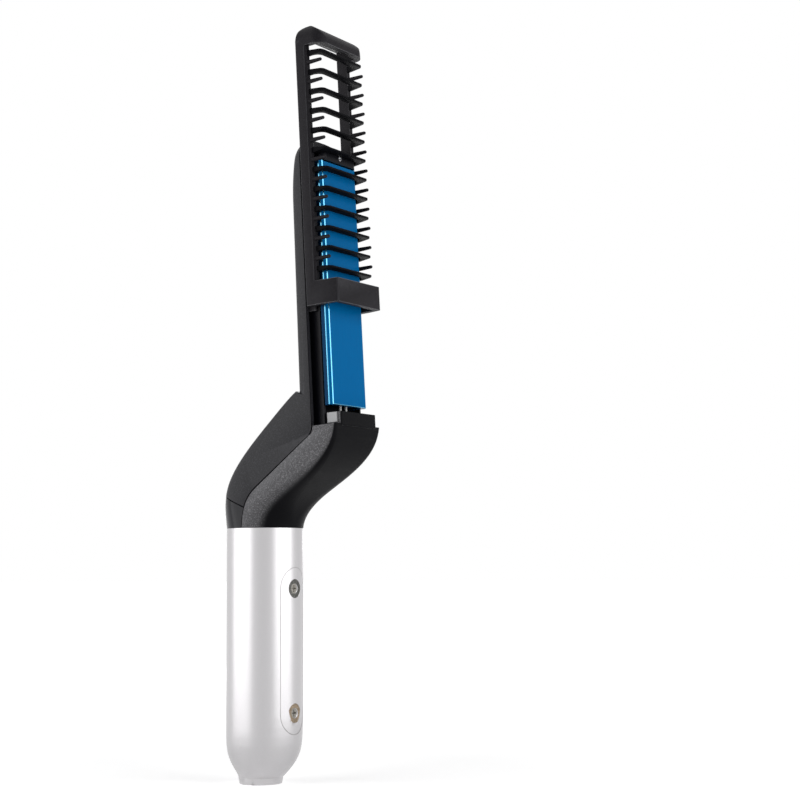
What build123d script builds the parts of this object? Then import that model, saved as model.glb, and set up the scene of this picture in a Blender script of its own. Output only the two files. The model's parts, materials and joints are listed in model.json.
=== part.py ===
"""Corded hot comb: a heated bar under a slide-on comb, on a cranked neck and a round handle.

Millimetres, +Z up along the handle, +X towards the teeth, Y across.
The origin is the mouth of the cord bore, in the handle's end face.  Everything is drawn
about the handle's own axis, and build_parts() shifts it by the bore's END_OFFSET at the end.
The head leans back by HEAD_TILT, so its pieces are drawn in a frame of their own (x forward
from the seam, z up the head) and carried into place by head_place().
"""
import os
from math import cos, radians, sin

from build123d import *

# ---- Handle -------------------------------------------------------------------------
HANDLE_RADIUS = 16.2
HANDLE_HEIGHT = 106.3
HANDLE_WALL = 2.2
END_NECK_RADIUS = 8.2
END_NECK_HEIGHT = 2.6
SHOULDER_TOP = 32.0
END_OFFSET = -2.0
END_BLOCK_HEIGHT = 15.0
CAVITY_FOOT_STEP = 3.4
CAVITY_HIP_STEP = 1.6

HANDLE_SCREW_HEIGHTS = (29.6, 81.0)
SCREW_SHANK_RADIUS = 1.15
SCREW_HEAD_RADIUS = 2.05
SCREW_HEAD_HEIGHT = 1.7
SCREW_POST_RADIUS = 3.6
SCREW_DISH_RADIUS = 4.0
SCREW_DISH_DEPTH = 0.55
SCREW_SEAT_DEPTH = 2.5
SCREW_LENGTH = 21.0

# ---- Neck ---------------------------------------------------------------------------
NECK_REACH = 37.67
NECK_RISE = 41.7
NECK_SIDE_WALL = 2.0
NECK_SLANT_WALL = 2.7
SPIGOT_DEPTH = 8.0
SPIGOT_WALL = 1.8
PANEL_GAP = 0.3
FIT_GAP = 0.1

# ---- Head ---------------------------------------------------------------------------
HEAD_TILT = 3.13
HEAD_HALF_WIDTH = 16.2
HEAD_BACK_DEPTH = 7.8
HEAD_FOOT_DEPTH = 8.8
HEAD_CORNER_RADIUS = 5.0
DOME_CORNER_GROWTH = 1.6
HEAD_FRONT = 12.5
SEAM_SET_BACK = 0.9
HEAD_TOP = 121.6
DOME_HEIGHT = 9.6
DOME_SIDE_INSET = 9.0
BACK_CURVE_HEIGHT = 29.0
BACK_CURVE_INSET = 6.6
CREASE_HEIGHT = 14.5
COVER_WALL = 1.8

LEDGE_DROP = 0.7
LEDGE_THICKNESS = 2.0
BLOCK_TOP = 4.3
BLOCK_BACK = 4.0
BLOCK_FRONT = 11.5
BLOCK_HALF_WIDTH = 12.5
BLOCK_CORNER_RADIUS = 1.0
BLOCK_SKIRT = 1.5
NECK_FRONT = 11.6
NECK_FRONT_CORNER = 1.6
BLOCK_WALL = 1.8
LATCH_PROUD = 0.6

# ---- Chassis and heater -------------------------------------------------------------
CHASSIS_TOP = 115.2
CHASSIS_FLOOR = -2.4
CHASSIS_FLOOR_THICKNESS = 1.2
LIP_INNER = 12.0
LIP_WEB = 0.45
LIP_BEAD = 0.95
LIP_BEAD_BACK = 2.7
LIP_FRONT = 3.5
PLATE_HALF_WIDTH = 12.8
PLATE_LEG_HALF_WIDTH = 11.75
PLATE_WING_GAP = 0.3
PLATE_FRONT = 7.3
PLATE_BOTTOM = 7.6
PLATE_TOP = 110.3
PLATE_WEB = 2.4
PLATE_SIDE_WALL = 1.85
PLATE_CHAMFER = 1.2
HEATER_THICKNESS = 2.5
INSULATION_THICKNESS = 1.6
HEATER_END_MARGIN = 4.5
HEATER_SIDE_GAP = 0.4
END_CAP_FRONT = 8.2
END_CAP_CORNER = 2.4
END_CAP_GAP = 0.2
CAP_HEAD_RADIUS = 1.3
CAP_HEAD_HEIGHT = 0.8
SMALL_SCREW_RADIUS = 0.9
SMALL_HEAD_RADIUS = 1.6
SMALL_HEAD_HEIGHT = 1.1

# ---- Comb ---------------------------------------------------------------------------
COMB_SLID_OUT = 48.8
SLIDE_GAP = 0.3
RAIL_FRONT = 4.7
RAIL_THICKNESS = 2.8
COLLAR_HEIGHT = 10.0
COLLAR_FRONT = 14.8
COLLAR_FLAT = 8.2
COLLAR_NOSE_HALF_WIDTH = 15.0
COLLAR_NOSE_FILLET = 0.6
COLLAR_FRONT_WALL = 2.4
HOOK_REACH = 1.9
TOOTH_PITCH = 4.2
ARCH_COUNT = 12
FIRST_TOOTH = 15.15
TOOTH_TIP = 12.0
PEG_TIP = 11.8
TOOTH_HALF_SPAN = 14.9
ARCH_CORNER = 1.8
ARCH_INNER_CORNER = 3.7
ARCH_BAR = 3.3
ARCH_LEG = 1.6
ARCH_ROOT_HALF = 1.2
ARCH_TIP_HALF = 0.38
PEG_ROOT_RADIUS = 0.95
PEG_TIP_RADIUS = 0.7
CAP_BOTTOM = 110.8
CAP_UNDERSIDE = 116.0
CAP_LIP_BACK = 9.4

# ---- Slide switch -------------------------------------------------------------------
SWITCH_ARC = 34.0
SWITCH_DROP = 14.6
SLIDER_HEIGHT = 10.8
SLIDER_TRAVEL = 3.2
SLIDER_SKIN = 1.8
NUB_RISE = 2.6
SWITCH_CASE_WIDTH = 8.0
SWITCH_CASE_DEPTH = 5.6
SWITCH_CASE_HEIGHT = 17.0
SWITCH_CASE_FACE = 9.6
STEM_WIDTH = 3.0
STEM_HEIGHT = 3.0

# ---- Indicator ----------------------------------------------------------------------
BAND_SIDE_RISE = 8.9
BAND_BACK_RISE = 15.7
RAY_COUNT = 8
RAY_CENTRE_RISE = 7.2
RAY_INNER = 2.5
RAY_OUTER = 5.35
RAY_WIDTH = 0.9
LED_BOARD_SETBACK = 6.6

# ---- Cord swivel --------------------------------------------------------------------
SWIVEL_RADIUS = 5.0
SWIVEL_FLANGE_RADIUS = 6.4
SWIVEL_FLANGE_BOTTOM = 7.0
SWIVEL_FLANGE_HEIGHT = 2.2
SWIVEL_TOP = 24.0
SWIVEL_STEM_RADIUS = 4.0
CORD_BORE_RADIUS = 3.1
SWIVEL_GAP = 0.06
CARRIER_WALL = 2.0
BRUSH_PROUD = 0.4

# ---- Control board ------------------------------------------------------------------
BOARD_BOTTOM = 34.0
BOARD_TOP = 76.0
BOARD_HALF_WIDTH = 10.0
BOARD_THICKNESS = 1.6
BOARD_BACK = -3.6
BOARD_SCREW_INSET = 4.5
WIRE_RADIUS = 0.6
HEATER_LEAD_BEND = 1.8
SUPPLY_LEAD_BEND = 0.9

# ---- Worked out ---------------------------------------------------------------------
HANDLE_BORE = HANDLE_RADIUS - HANDLE_WALL
SWITCH_BOTTOM = HANDLE_HEIGHT - SWITCH_DROP
LED_BOARD_FACE = LED_BOARD_SETBACK - HANDLE_RADIUS
CARRIER_RADIUS = HANDLE_BORE - CAVITY_FOOT_STEP + END_OFFSET
BRUSH_END = CARRIER_RADIUS + BRUSH_PROUD
HEAD_Z = HANDLE_HEIGHT + NECK_RISE
HEAD_PLANE = Plane(
    origin=(NECK_REACH, 0, HEAD_Z),
    x_dir=(cos(radians(HEAD_TILT)), 0, sin(radians(HEAD_TILT))),
    z_dir=(-sin(radians(HEAD_TILT)), 0, cos(radians(HEAD_TILT))),
)
RAIL_INNER = HEAD_HALF_WIDTH - RAIL_THICKNESS
COVER_INNER = HEAD_HALF_WIDTH - COVER_WALL
RAIL_BACK = SLIDE_GAP - SEAM_SET_BACK
BIG = 400.0


def head_place(shape, lift=0.0):
    """Carry a shape drawn in the head's own frame to its place, lifted along the head."""
    return HEAD_PLANE.location * Pos(0, 0, lift) * shape


def head_point(x, z):
    """World X and Z of a point of the head's middle plane."""
    t = radians(HEAD_TILT)
    return NECK_REACH + x * cos(t) - z * sin(t), HEAD_Z + x * sin(t) + z * cos(t)


def bezier_point(points, t):
    """Point of a cubic Bezier curve."""
    w = ((1 - t) ** 3, 3 * t * (1 - t) ** 2, 3 * t * t * (1 - t), t ** 3)
    return tuple(sum(k * p[axis] for k, p in zip(w, points)) for axis in (0, 1))


def block(x0, x1, y0, y1, z0, z1):
    """Box between two opposite corners."""
    return Pos((x0 + x1) / 2, (y0 + y1) / 2, (z0 + z1) / 2) * Box(x1 - x0, y1 - y0, z1 - z0)


def both_sides(shape):
    """A shape and its mirror image across the middle plane, as a list."""
    return [shape, mirror(shape, about=Plane.XZ)]


def rod_x(x0, x1, radius, y=0.0, z=0.0):
    """Round rod along X."""
    return Pos((x0 + x1) / 2, y, z) * Rot(0, 90, 0) * Cylinder(radius, x1 - x0)


def ring(r0, r1, z0, z1):
    """Plain ring about Z."""
    body = Pos(0, 0, (z0 + z1) / 2) * Cylinder(r1, z1 - z0)
    return body - Pos(0, 0, (z0 + z1) / 2) * Cylinder(r0, z1 - z0 + 2)


def xz_prism(wire_edges):
    """Prism across Y of a closed outline drawn in the XZ plane."""
    face = make_face(wire_edges)
    return extrude(face, amount=BIG / 2, dir=(0, 1, 0), both=True)


# =====================================================================================
# Handle
# =====================================================================================
def handle_outline_solid():
    """Outer body of the handle: round bar, with a shoulder that leans back to the end neck."""
    bar = Pos(0, 0, (SHOULDER_TOP + HANDLE_HEIGHT) / 2) * Cylinder(HANDLE_RADIUS, HANDLE_HEIGHT - SHOULDER_TOP)
    profile = [
        (END_NECK_RADIUS, END_NECK_HEIGHT),
        (HANDLE_RADIUS * 0.84, END_NECK_HEIGHT + 1.4),
        (HANDLE_RADIUS * 0.94, SHOULDER_TOP * 0.47),
        (HANDLE_RADIUS, SHOULDER_TOP),
    ]
    rings = []
    for step in range(13):
        t = step / 12
        radius, z = bezier_point(profile, t)
        rings.append(Pos(END_OFFSET * (1 - t) ** 2, 0, z) * Circle(radius).face())
    end_neck = Pos(END_OFFSET, 0, END_NECK_HEIGHT / 2) * Cylinder(END_NECK_RADIUS, END_NECK_HEIGHT)
    return bar + loft(rings, ruled=True) + end_neck


def handle_cavity():
    """Hollow of the handle, above the solid end that carries the swivel."""
    foot = HANDLE_BORE - CAVITY_FOOT_STEP
    outline = Polyline(
        (0, 0, END_BLOCK_HEIGHT),
        (foot, 0, END_BLOCK_HEIGHT),
        (HANDLE_BORE - CAVITY_HIP_STEP, 0, END_BLOCK_HEIGHT + 5),
        (HANDLE_BORE, 0, SHOULDER_TOP),
        (HANDLE_BORE, 0, HANDLE_HEIGHT + 1),
        (0, 0, HANDLE_HEIGHT + 1),
        (0, 0, END_BLOCK_HEIGHT),
    )
    return revolve(make_face(outline), axis=Axis.Z)


def swivel_seat():
    """Bore and flange groove that the cord swivel turns in."""
    bore = Cylinder(SWIVEL_RADIUS + SWIVEL_GAP, 2 * END_BLOCK_HEIGHT + 2)
    middle = SWIVEL_FLANGE_BOTTOM + SWIVEL_FLANGE_HEIGHT / 2
    groove = Pos(0, 0, middle) * Cylinder(SWIVEL_FLANGE_RADIUS + FIT_GAP, SWIVEL_FLANGE_HEIGHT + 2 * FIT_GAP)
    return Pos(END_OFFSET, 0, 0) * (bore + groove)


def switch_window():
    """Sector of the back shell left open for the slide switch, up to the joint line."""
    outer = ring(HANDLE_BORE - 1, HANDLE_RADIUS + 4, SWITCH_BOTTOM, HANDLE_HEIGHT + 1)
    return outer & sector(0.0, SWITCH_ARC, 0, HANDLE_HEIGHT + 5)


def sector(start, stop, z0, z1):
    """Wedge about Z between two angles counted from +Y towards -X."""
    far = 3 * HANDLE_RADIUS
    a, b = radians(90 + start), radians(90 + stop)
    outline = Polyline((0, 0, z0), (far * cos(a), far * sin(a), z0), (far * cos(b), far * sin(b), z0), (0, 0, z0))
    return extrude(make_face(outline), amount=z1 - z0, dir=(0, 0, 1))


def handle_shell_blank():
    return handle_outline_solid() - handle_cavity() - swivel_seat()


def screw_seat_x():
    return HANDLE_RADIUS - SCREW_SEAT_DEPTH


def handle_front_shell():
    """Front half of the handle, with the two screw posts."""
    shell = handle_shell_blank() & block(0, BIG, -BIG, BIG, -BIG, BIG)
    dish_floor = HANDLE_RADIUS - SCREW_DISH_DEPTH
    for z in HANDLE_SCREW_HEIGHTS:
        shell += rod_x(0, HANDLE_BORE + 1, SCREW_POST_RADIUS, z=z)
    for z in HANDLE_SCREW_HEIGHTS:
        shell -= rod_x(-1, BIG / 4, SCREW_SHANK_RADIUS + FIT_GAP, z=z)
        shell -= rod_x(screw_seat_x(), BIG / 4, SCREW_HEAD_RADIUS + FIT_GAP, z=z)
        shell -= rod_x(dish_floor, BIG / 4, SCREW_DISH_RADIUS, z=z)
    return shell


def handle_back_shell():
    """Back half of the handle, with screw posts, board pillars and the switch shelf."""
    keep = block(-BIG, 0, -BIG, BIG, -BIG, BIG)
    shell = (handle_shell_blank() & keep) - switch_window()
    for z in HANDLE_SCREW_HEIGHTS:
        shell += rod_x(-HANDLE_BORE - 1, 0, SCREW_POST_RADIUS, z=z)
    for z in board_screw_heights():
        shell += rod_x(-HANDLE_BORE - 1, BOARD_BACK, 2.4, z=z)
    shelf = Pos(0, 0, switch_case_bottom() - 1.25) * Cylinder(HANDLE_BORE + 0.5, 2.5)
    shelf = shelf & keep & switch_frame(block(-5, 5, 2.5, BIG / 4, -BIG, BIG))
    shell += shelf
    for z in HANDLE_SCREW_HEIGHTS:
        shell -= rod_x(screw_seat_x() - SCREW_LENGTH - 1, 1, SCREW_SHANK_RADIUS + 0.02, z=z)
    for z in board_screw_heights():
        shell -= rod_x(BOARD_BACK - 7, BOARD_BACK + 1, 0.92, z=z)
    return shell


def cross_recess(radius):
    """Cross slot in a screw head whose face is at X = 0, cut inwards."""
    bar = block(-0.9, 0.2, -0.28, 0.28, -radius * 0.68, radius * 0.68)
    return bar + Rot(90, 0, 0) * bar


def screw_x(head_radius, head_height, shank_radius, length):
    """Screw along -X, its head's underside at X = 0."""
    head = rod_x(0, head_height, head_radius)
    head = head - Pos(head_height, 0, 0) * cross_recess(head_radius)
    return head + rod_x(-length, 0.1, shank_radius)


def handle_screws():
    """Two long screws that pull the handle's halves together."""
    one = screw_x(SCREW_HEAD_RADIUS, SCREW_HEAD_HEIGHT, SCREW_SHANK_RADIUS, SCREW_LENGTH)
    return Compound([Pos(screw_seat_x(), 0, z) * one for z in HANDLE_SCREW_HEIGHTS])


# =====================================================================================
# Neck and head shells
# =====================================================================================
def neck_stations(slant_inset, side_inset):
    """Cross-sections from the handle's top to the crease under the head, as faces."""
    top = HANDLE_HEIGHT
    crease = head_point(-HEAD_FOOT_DEPTH, CREASE_HEIGHT)
    brow = head_point(NECK_FRONT, BLOCK_TOP)
    back = [(-HANDLE_RADIUS, top), (-HANDLE_RADIUS + 1.4, top + 17.7), (crease[0] - 40, crease[1] - 33.0), crease]
    front = [(HANDLE_RADIUS, top), (HANDLE_RADIUS - 1.4, top + 17.7), (brow[0] + 2.6, brow[1] - 26.5), brow]
    faces = []
    for t in (0.0, 0.14, 0.28, 0.42, 0.56, 0.70, 0.85, 1.0):
        (bx, bz), (fx, fz) = bezier_point(back, t), bezier_point(front, t)
        length = ((fx - bx) ** 2 + (fz - bz) ** 2) ** 0.5
        ux, uz = (fx - bx) / length, (fz - bz) / length
        radius = NECK_FRONT_CORNER + (HANDLE_RADIUS - NECK_FRONT_CORNER) * (1 - t) ** 1.5 - 0.02
        half = HANDLE_RADIUS + (HEAD_HALF_WIDTH - HANDLE_RADIUS) * min(1.0, 2 * t)
        grow = min(1.0, 3 * t)
        slant = side_inset + (slant_inset - side_inset) * grow
        plane = Plane(origin=((fx + bx) / 2, 0, (fz + bz) / 2), x_dir=(ux, 0, uz), z_dir=(-uz, 0, ux))
        corner = max(0.6, radius - side_inset)
        size = RectangleRounded(length - 2 * slant, 2 * (half - side_inset), corner)
        faces.append(plane * size.face())
    return faces


def neck_body():
    return loft(neck_stations(0.0, 0.0))


def neck_hollow():
    return loft(neck_stations(NECK_SLANT_WALL, NECK_SIDE_WALL))


def ellipse_inset(z, height, inset):
    """Inset at height z of a quarter-ellipse shoulder that ends level at the head's top."""
    u = max(0.0, min(1.0, 1 - (HEAD_TOP - z) / height))
    return inset * (1 - (1 - u * u) ** 0.5)


def head_outline_face(z, front):
    """Rounded outline of the head at height z, from its back to a chosen front."""
    swell = (HEAD_FOOT_DEPTH - HEAD_BACK_DEPTH) * max(0.0, 1 - z / (HEAD_TOP - BACK_CURVE_HEIGHT))
    x0 = -HEAD_BACK_DEPTH - swell + ellipse_inset(z, BACK_CURVE_HEIGHT, BACK_CURVE_INSET)
    half = HEAD_HALF_WIDTH - ellipse_inset(z, DOME_HEIGHT, DOME_SIDE_INSET)
    corner = HEAD_CORNER_RADIUS + ellipse_inset(z, DOME_HEIGHT, DOME_CORNER_GROWTH)
    return Pos((x0 + front) / 2, 0, z) * RectangleRounded(front - x0, 2 * half, corner).face()


def head_body(front=HEAD_FRONT):
    """Outer body of the head: back face easing in, then a domed top."""
    waist, shoulder = HEAD_TOP - BACK_CURVE_HEIGHT, HEAD_TOP - DOME_HEIGHT
    bar = loft([head_outline_face(2.0, front), head_outline_face(waist, front)])
    upper = loft([head_outline_face(waist + (shoulder - waist) * k / 4, front) for k in range(5)])
    dome = loft([head_outline_face(shoulder + DOME_HEIGHT * sin(radians(a)), front) for a in range(0, 91, 15)])
    return (bar + upper + dome) - brow_cut()


def brow_cut():
    """What the sloping brow takes off the head's top, towards the teeth."""
    nose = (HEAD_FRONT + 0.6, 0, HEAD_TOP - 11.5)
    slope = [
        Spline((-2.5, 0, HEAD_TOP + 0.05), (5.0, 0, HEAD_TOP - 1.5), (10.4, 0, HEAD_TOP - 5.2), nose,
               tangents=((1, 0, 0), (0.1, 0, -1))),
        Polyline(nose, (BIG / 4, 0, nose[2]), (BIG / 4, 0, HEAD_TOP + 9), (-2.5, 0, HEAD_TOP + 9),
                 (-2.5, 0, HEAD_TOP + 0.05)),
    ]
    return xz_prism(slope)


def seam_region(shift=0.0):
    """Everything behind the side seam: up the handle's middle, along the neck, up the head."""
    h = HANDLE_HEIGHT
    corner = head_point(-SEAM_SET_BACK, -3.2)
    bend = (corner[0] - 2.4, corner[1] - 1.75)
    settle = head_point(-SEAM_SET_BACK, -0.6)
    far = head_point(-SEAM_SET_BACK, BIG / 2)
    low = -BIG / 2
    x, z = shift * 0.62, -shift * 0.78
    p = {
        "start": (x, 0, low),
        "foot": (x, 0, h),
        "waist": (9.4 + x, 0, h + 18.3 + z),
        "bend": (bend[0] + x, 0, bend[1] + z),
        "settle": (settle[0] + shift, 0, settle[1]),
        "far": (far[0] + shift, 0, far[1]),
    }
    edges = [
        Line(p["start"], p["foot"]),
        Bezier(p["foot"], (0.3 + x, 0, h + 12), (5.0 + x, 0, h + 15.1 + z), p["waist"]),
        Line(p["waist"], p["bend"]),
        ThreePointArc(p["bend"], (corner[0] - 0.55 + x, 0, corner[1] + 0.15 + z), p["settle"]),
        Line(p["settle"], p["far"]),
        Polyline(p["far"], (low, 0, p["far"][2]), (low, 0, low), p["start"]),
    ]
    return xz_prism(edges)


def above_band(lift=0.0):
    """Region above the band's slanting top edge."""
    side = HANDLE_HEIGHT + lift + BAND_SIDE_RISE
    far = BIG / 2
    climb = far * (BAND_BACK_RISE - BAND_SIDE_RISE) / HANDLE_RADIUS
    outline = Polyline((far, 0, side - climb), (-far, 0, side + climb), (-far, 0, side + far),
                       (far, 0, side + far), (far, 0, side - climb))
    return xz_prism(outline)


def head_inside():
    """Hollow of the head's cover, open towards the teeth."""
    radius = HEAD_CORNER_RADIUS - COVER_WALL
    faces = []
    for z, depth in ((3.0, HEAD_FOOT_DEPTH), (CHASSIS_TOP + 0.4, HEAD_BACK_DEPTH - 0.6)):
        x0 = -depth + COVER_WALL
        outline = RectangleRounded(HEAD_FRONT - x0, 2 * COVER_INNER, radius)
        faces.append(Pos((x0 + HEAD_FRONT) / 2, 0, z) * outline.face())
    return loft(faces)


def chassis_screw_heights():
    return (CREASE_HEIGHT + 9.0, CHASSIS_TOP - 12.0)


def head_back_cover(neck, hollow):
    """One long cover: the back of the neck above the band, and the back of the head."""
    shell = (neck + head_place(head_body())) & seam_region()
    shell = shell & above_band(PANEL_GAP)
    shell = shell - hollow - head_place(head_inside())
    post_top = CHASSIS_FLOOR - CHASSIS_FLOOR_THICKNESS
    for z in chassis_screw_heights():
        shell += head_place(rod_x(-HEAD_FOOT_DEPTH - 1, post_top, 2.4, z=z) & head_body())
    for z in chassis_screw_heights():
        shell -= head_place(rod_x(-HEAD_BACK_DEPTH + 1.2, post_top + 1, 0.92, z=z))
    for notch in both_sides(hook_exit()):
        shell -= head_place(notch)
    return shell


def hook_exit():
    """Way out through the dome for one of the comb's hooks, where its channel ends."""
    back, inner = hook_back() - SLIDE_GAP, LIP_INNER + LIP_WEB
    return block(back, 2 * SLIDE_GAP, inner, COVER_INNER, CHASSIS_TOP - 2, BIG)


def spigot(start, stop):
    """Short ring below the neck that plugs into the handle's bore."""
    outer = HANDLE_BORE - FIT_GAP
    body = ring(outer - SPIGOT_WALL, outer, HANDLE_HEIGHT - SPIGOT_DEPTH, HANDLE_HEIGHT + 0.5)
    body += ring(outer - SPIGOT_WALL, HANDLE_RADIUS - 0.8, HANDLE_HEIGHT, HANDLE_HEIGHT + 1.5)
    return body & block(start, stop, -BIG, BIG, -BIG, BIG)


def neck_front_shell(neck, hollow):
    """Front of the neck with its side ledges, the block the collar slips over, and a half spigot."""
    shell = neck - seam_region(PANEL_GAP)
    ledge_top = head_place(block(-BIG, BIG, -BIG, BIG, -LEDGE_DROP, BIG))
    ledge_slab = head_place(block(-1, BIG, -BIG, BIG, -LEDGE_DROP - LEDGE_THICKNESS, -LEDGE_DROP))
    lip = shell & ledge_slab
    front_wall = head_place(block(BLOCK_FRONT - BLOCK_WALL, BIG, -BIG, BIG, -BIG, BIG))
    shell = (shell - ledge_top - (hollow - front_wall)) + lip
    shell += head_place(block_body())
    shell -= head_place(block_inside())
    shell -= head_place(lead_slot())
    for y0, y1 in ((LIP_INNER, COVER_INNER), (-COVER_INNER, -LIP_INNER)):
        shell -= head_place(block(-1, LIP_FRONT, y0, y1, -LEDGE_DROP - 3, 0))
    half = spigot(PANEL_GAP / 2, BIG)
    for z in HANDLE_SCREW_HEIGHTS:
        half -= rod_x(0, BIG / 4, SCREW_POST_RADIUS + FIT_GAP, z=z)
    return shell + half


def block_body():
    """Block on top of the neck's front, running down flush into the neck's face."""
    face = Pos((BLOCK_BACK + BLOCK_FRONT) / 2, 0, -BLOCK_SKIRT) * RectangleRounded(
        BLOCK_FRONT - BLOCK_BACK, 2 * BLOCK_HALF_WIDTH, BLOCK_CORNER_RADIUS)
    return extrude(face, amount=BLOCK_TOP + BLOCK_SKIRT)


def block_inside():
    x0, x1 = BLOCK_BACK + BLOCK_WALL, BLOCK_FRONT - BLOCK_WALL
    half = BLOCK_HALF_WIDTH - BLOCK_WALL
    return block(x0, x1, -half, half, -LEDGE_DROP - LEDGE_THICKNESS - 2, BLOCK_TOP - BLOCK_WALL)


def lead_slot():
    """Opening in the block's top for the heater's two leads."""
    low = -LEDGE_DROP - LEDGE_THICKNESS - 2
    return block(BLOCK_BACK - 1.8, BLOCK_BACK + 3.4, -4.2, 4.2, low, BLOCK_TOP + 1)


def latch_pads():
    """Two snap pads on the block's flanks that hold the seated collar."""
    pad = block(5.0, 9.7, BLOCK_HALF_WIDTH, BLOCK_HALF_WIDTH + LATCH_PROUD, 0.0, BLOCK_TOP - 0.2)
    stem = block(6.3, 8.3, BLOCK_HALF_WIDTH - BLOCK_WALL, BLOCK_HALF_WIDTH, 1.0, 3.0)
    return pad + stem


def latch_pockets():
    return block(6.3, 8.3, BLOCK_HALF_WIDTH - BLOCK_WALL - 0.5, BLOCK_HALF_WIDTH + 1, 1.0, 3.0)


def indicator_rays():
    """Straight prisms along X, one per ray, before they are trimmed to the band."""
    prisms = []
    for index in range(RAY_COUNT):
        bar = block(-HANDLE_RADIUS - 4, -HANDLE_RADIUS + 6, -RAY_WIDTH / 2, RAY_WIDTH / 2, RAY_INNER, RAY_OUTER)
        turned = Rot(360.0 * index / RAY_COUNT, 0, 0) * bar
        prisms.append(Pos(0, 0, HANDLE_HEIGHT + RAY_CENTRE_RISE) * turned)
    return prisms


def band_blank(neck, hollow):
    """Band's wall before the rays are cut."""
    return ((neck - hollow) & seam_region()) - above_band()


def indicator_band(neck, hollow):
    """Glossy band round the back of the joint, with the rays' slots, board ribs and a half spigot."""
    band = band_blank(neck, hollow)
    for prism in indicator_rays():
        band -= prism
    for y in (-7.4, 7.4):
        rib = block(-BIG / 4, LED_BOARD_FACE, y - 0.6, y + 0.6, HANDLE_HEIGHT + 2, HANDLE_HEIGHT + 10)
        band += (rib & neck & seam_region()) - above_band(-1)
    half = spigot(-BIG, 0)
    half -= sector(-4, SWITCH_ARC + 4, 0, HANDLE_HEIGHT - SLIDER_TRAVEL)
    return band + half


def led_board():
    """Small board across the band's ribs that carries the indicator lamp."""
    return block(LED_BOARD_FACE, LED_BOARD_FACE + 1.0, -8.2, 8.2, HANDLE_HEIGHT + 2.4, HANDLE_HEIGHT + 11)


def indicator_lamp():
    """Square lamp package with its domed lens, behind the middle of the rays."""
    z = HANDLE_HEIGHT + RAY_CENTRE_RISE
    front = LED_BOARD_FACE - 1.2
    lens = rod_x(front - 1.2, front, 1.5, z=z)
    lens = fillet(lens.edges().filter_by(GeomType.CIRCLE).group_by(Axis.X)[0], 1.0)
    return lens + block(front, LED_BOARD_FACE, -2.5, 2.5, z - 2.5, z + 2.5)


# =====================================================================================
# Chassis and heater
# =====================================================================================
def head_chassis():
    """Long tray in the head: floor, centre rib and the two lips that guide the comb."""
    floor_back = CHASSIS_FLOOR - CHASSIS_FLOOR_THICKNESS
    bottom = -LEDGE_DROP + 0.2
    half = COVER_INNER - SLIDE_GAP
    tray = block(floor_back, CHASSIS_FLOOR, -half, half, bottom, CHASSIS_TOP)
    rib_top = PLATE_FRONT - PLATE_WEB - HEATER_THICKNESS - INSULATION_THICKNESS
    tray += block(CHASSIS_FLOOR, rib_top, -6, 6, heater_span()[0] + 2, heater_span()[1] - 2)
    for side in (1, -1):
        web = sorted((side * LIP_INNER, side * (LIP_INNER + LIP_WEB)))
        bead = sorted((side * LIP_INNER, side * (LIP_INNER + LIP_BEAD)))
        tray += block(CHASSIS_FLOOR, LIP_FRONT, *web, bottom, CHASSIS_TOP)
        tray += block(LIP_BEAD_BACK, LIP_FRONT, *bead, bottom, CHASSIS_TOP)
    for z in chassis_screw_heights():
        tray -= rod_x(floor_back - 1, rib_top + 1, SMALL_SCREW_RADIUS + FIT_GAP, z=z)
        tray -= rod_x(CHASSIS_FLOOR, rib_top + 1, SMALL_HEAD_RADIUS + 0.2, z=z)
    return tray


def chassis_screws():
    """Screws from the chassis floor into the cover's posts."""
    reach = HEAD_BACK_DEPTH - 1.2 + CHASSIS_FLOOR - 0.4
    one = screw_x(SMALL_HEAD_RADIUS, SMALL_HEAD_HEIGHT, SMALL_SCREW_RADIUS, reach)
    return Compound([head_place(Pos(CHASSIS_FLOOR, 0, z) * one) for z in chassis_screw_heights()])


def heater_span():
    return PLATE_BOTTOM + HEATER_END_MARGIN, PLATE_TOP - HEATER_END_MARGIN


def heat_plate():
    """Anodised channel: broad bevelled face over the lips, two legs standing on the chassis."""
    wing_back = LIP_FRONT + PLATE_WING_GAP
    wings = block(wing_back, PLATE_FRONT, -PLATE_HALF_WIDTH, PLATE_HALF_WIDTH, PLATE_BOTTOM, PLATE_TOP)
    wings = chamfer(wings.edges().filter_by(Axis.Z).group_by(Axis.X)[-1], PLATE_CHAMFER)
    legs = block(CHASSIS_FLOOR, PLATE_FRONT - 1, -PLATE_LEG_HALF_WIDTH, PLATE_LEG_HALF_WIDTH,
                 PLATE_BOTTOM, PLATE_TOP)
    half = PLATE_LEG_HALF_WIDTH - PLATE_SIDE_WALL
    back = PLATE_FRONT - PLATE_WEB
    return wings + legs - block(CHASSIS_FLOOR - 1, back, -half, half, PLATE_BOTTOM - 1, PLATE_TOP + 1)


def heater_layer(front, thickness):
    half = PLATE_LEG_HALF_WIDTH - PLATE_SIDE_WALL - HEATER_SIDE_GAP
    return block(front - thickness, front, -half, half, *heater_span())


def heater_element():
    """Flat ceramic heater pressed against the back of the plate's face."""
    return heater_layer(PLATE_FRONT - PLATE_WEB, HEATER_THICKNESS)


def heater_insulation():
    """Fibre pad between the heater and the chassis rib."""
    return heater_layer(PLATE_FRONT - PLATE_WEB - HEATER_THICKNESS, INSULATION_THICKNESS)


def thermal_cutout():
    """Small one-shot cut-out beside the rib, lying on the chassis floor."""
    low = heater_span()[0] + 22
    return Pos(CHASSIS_FLOOR + 1.25, 7.9, low + 6) * Cylinder(1.25, 12)


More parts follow.
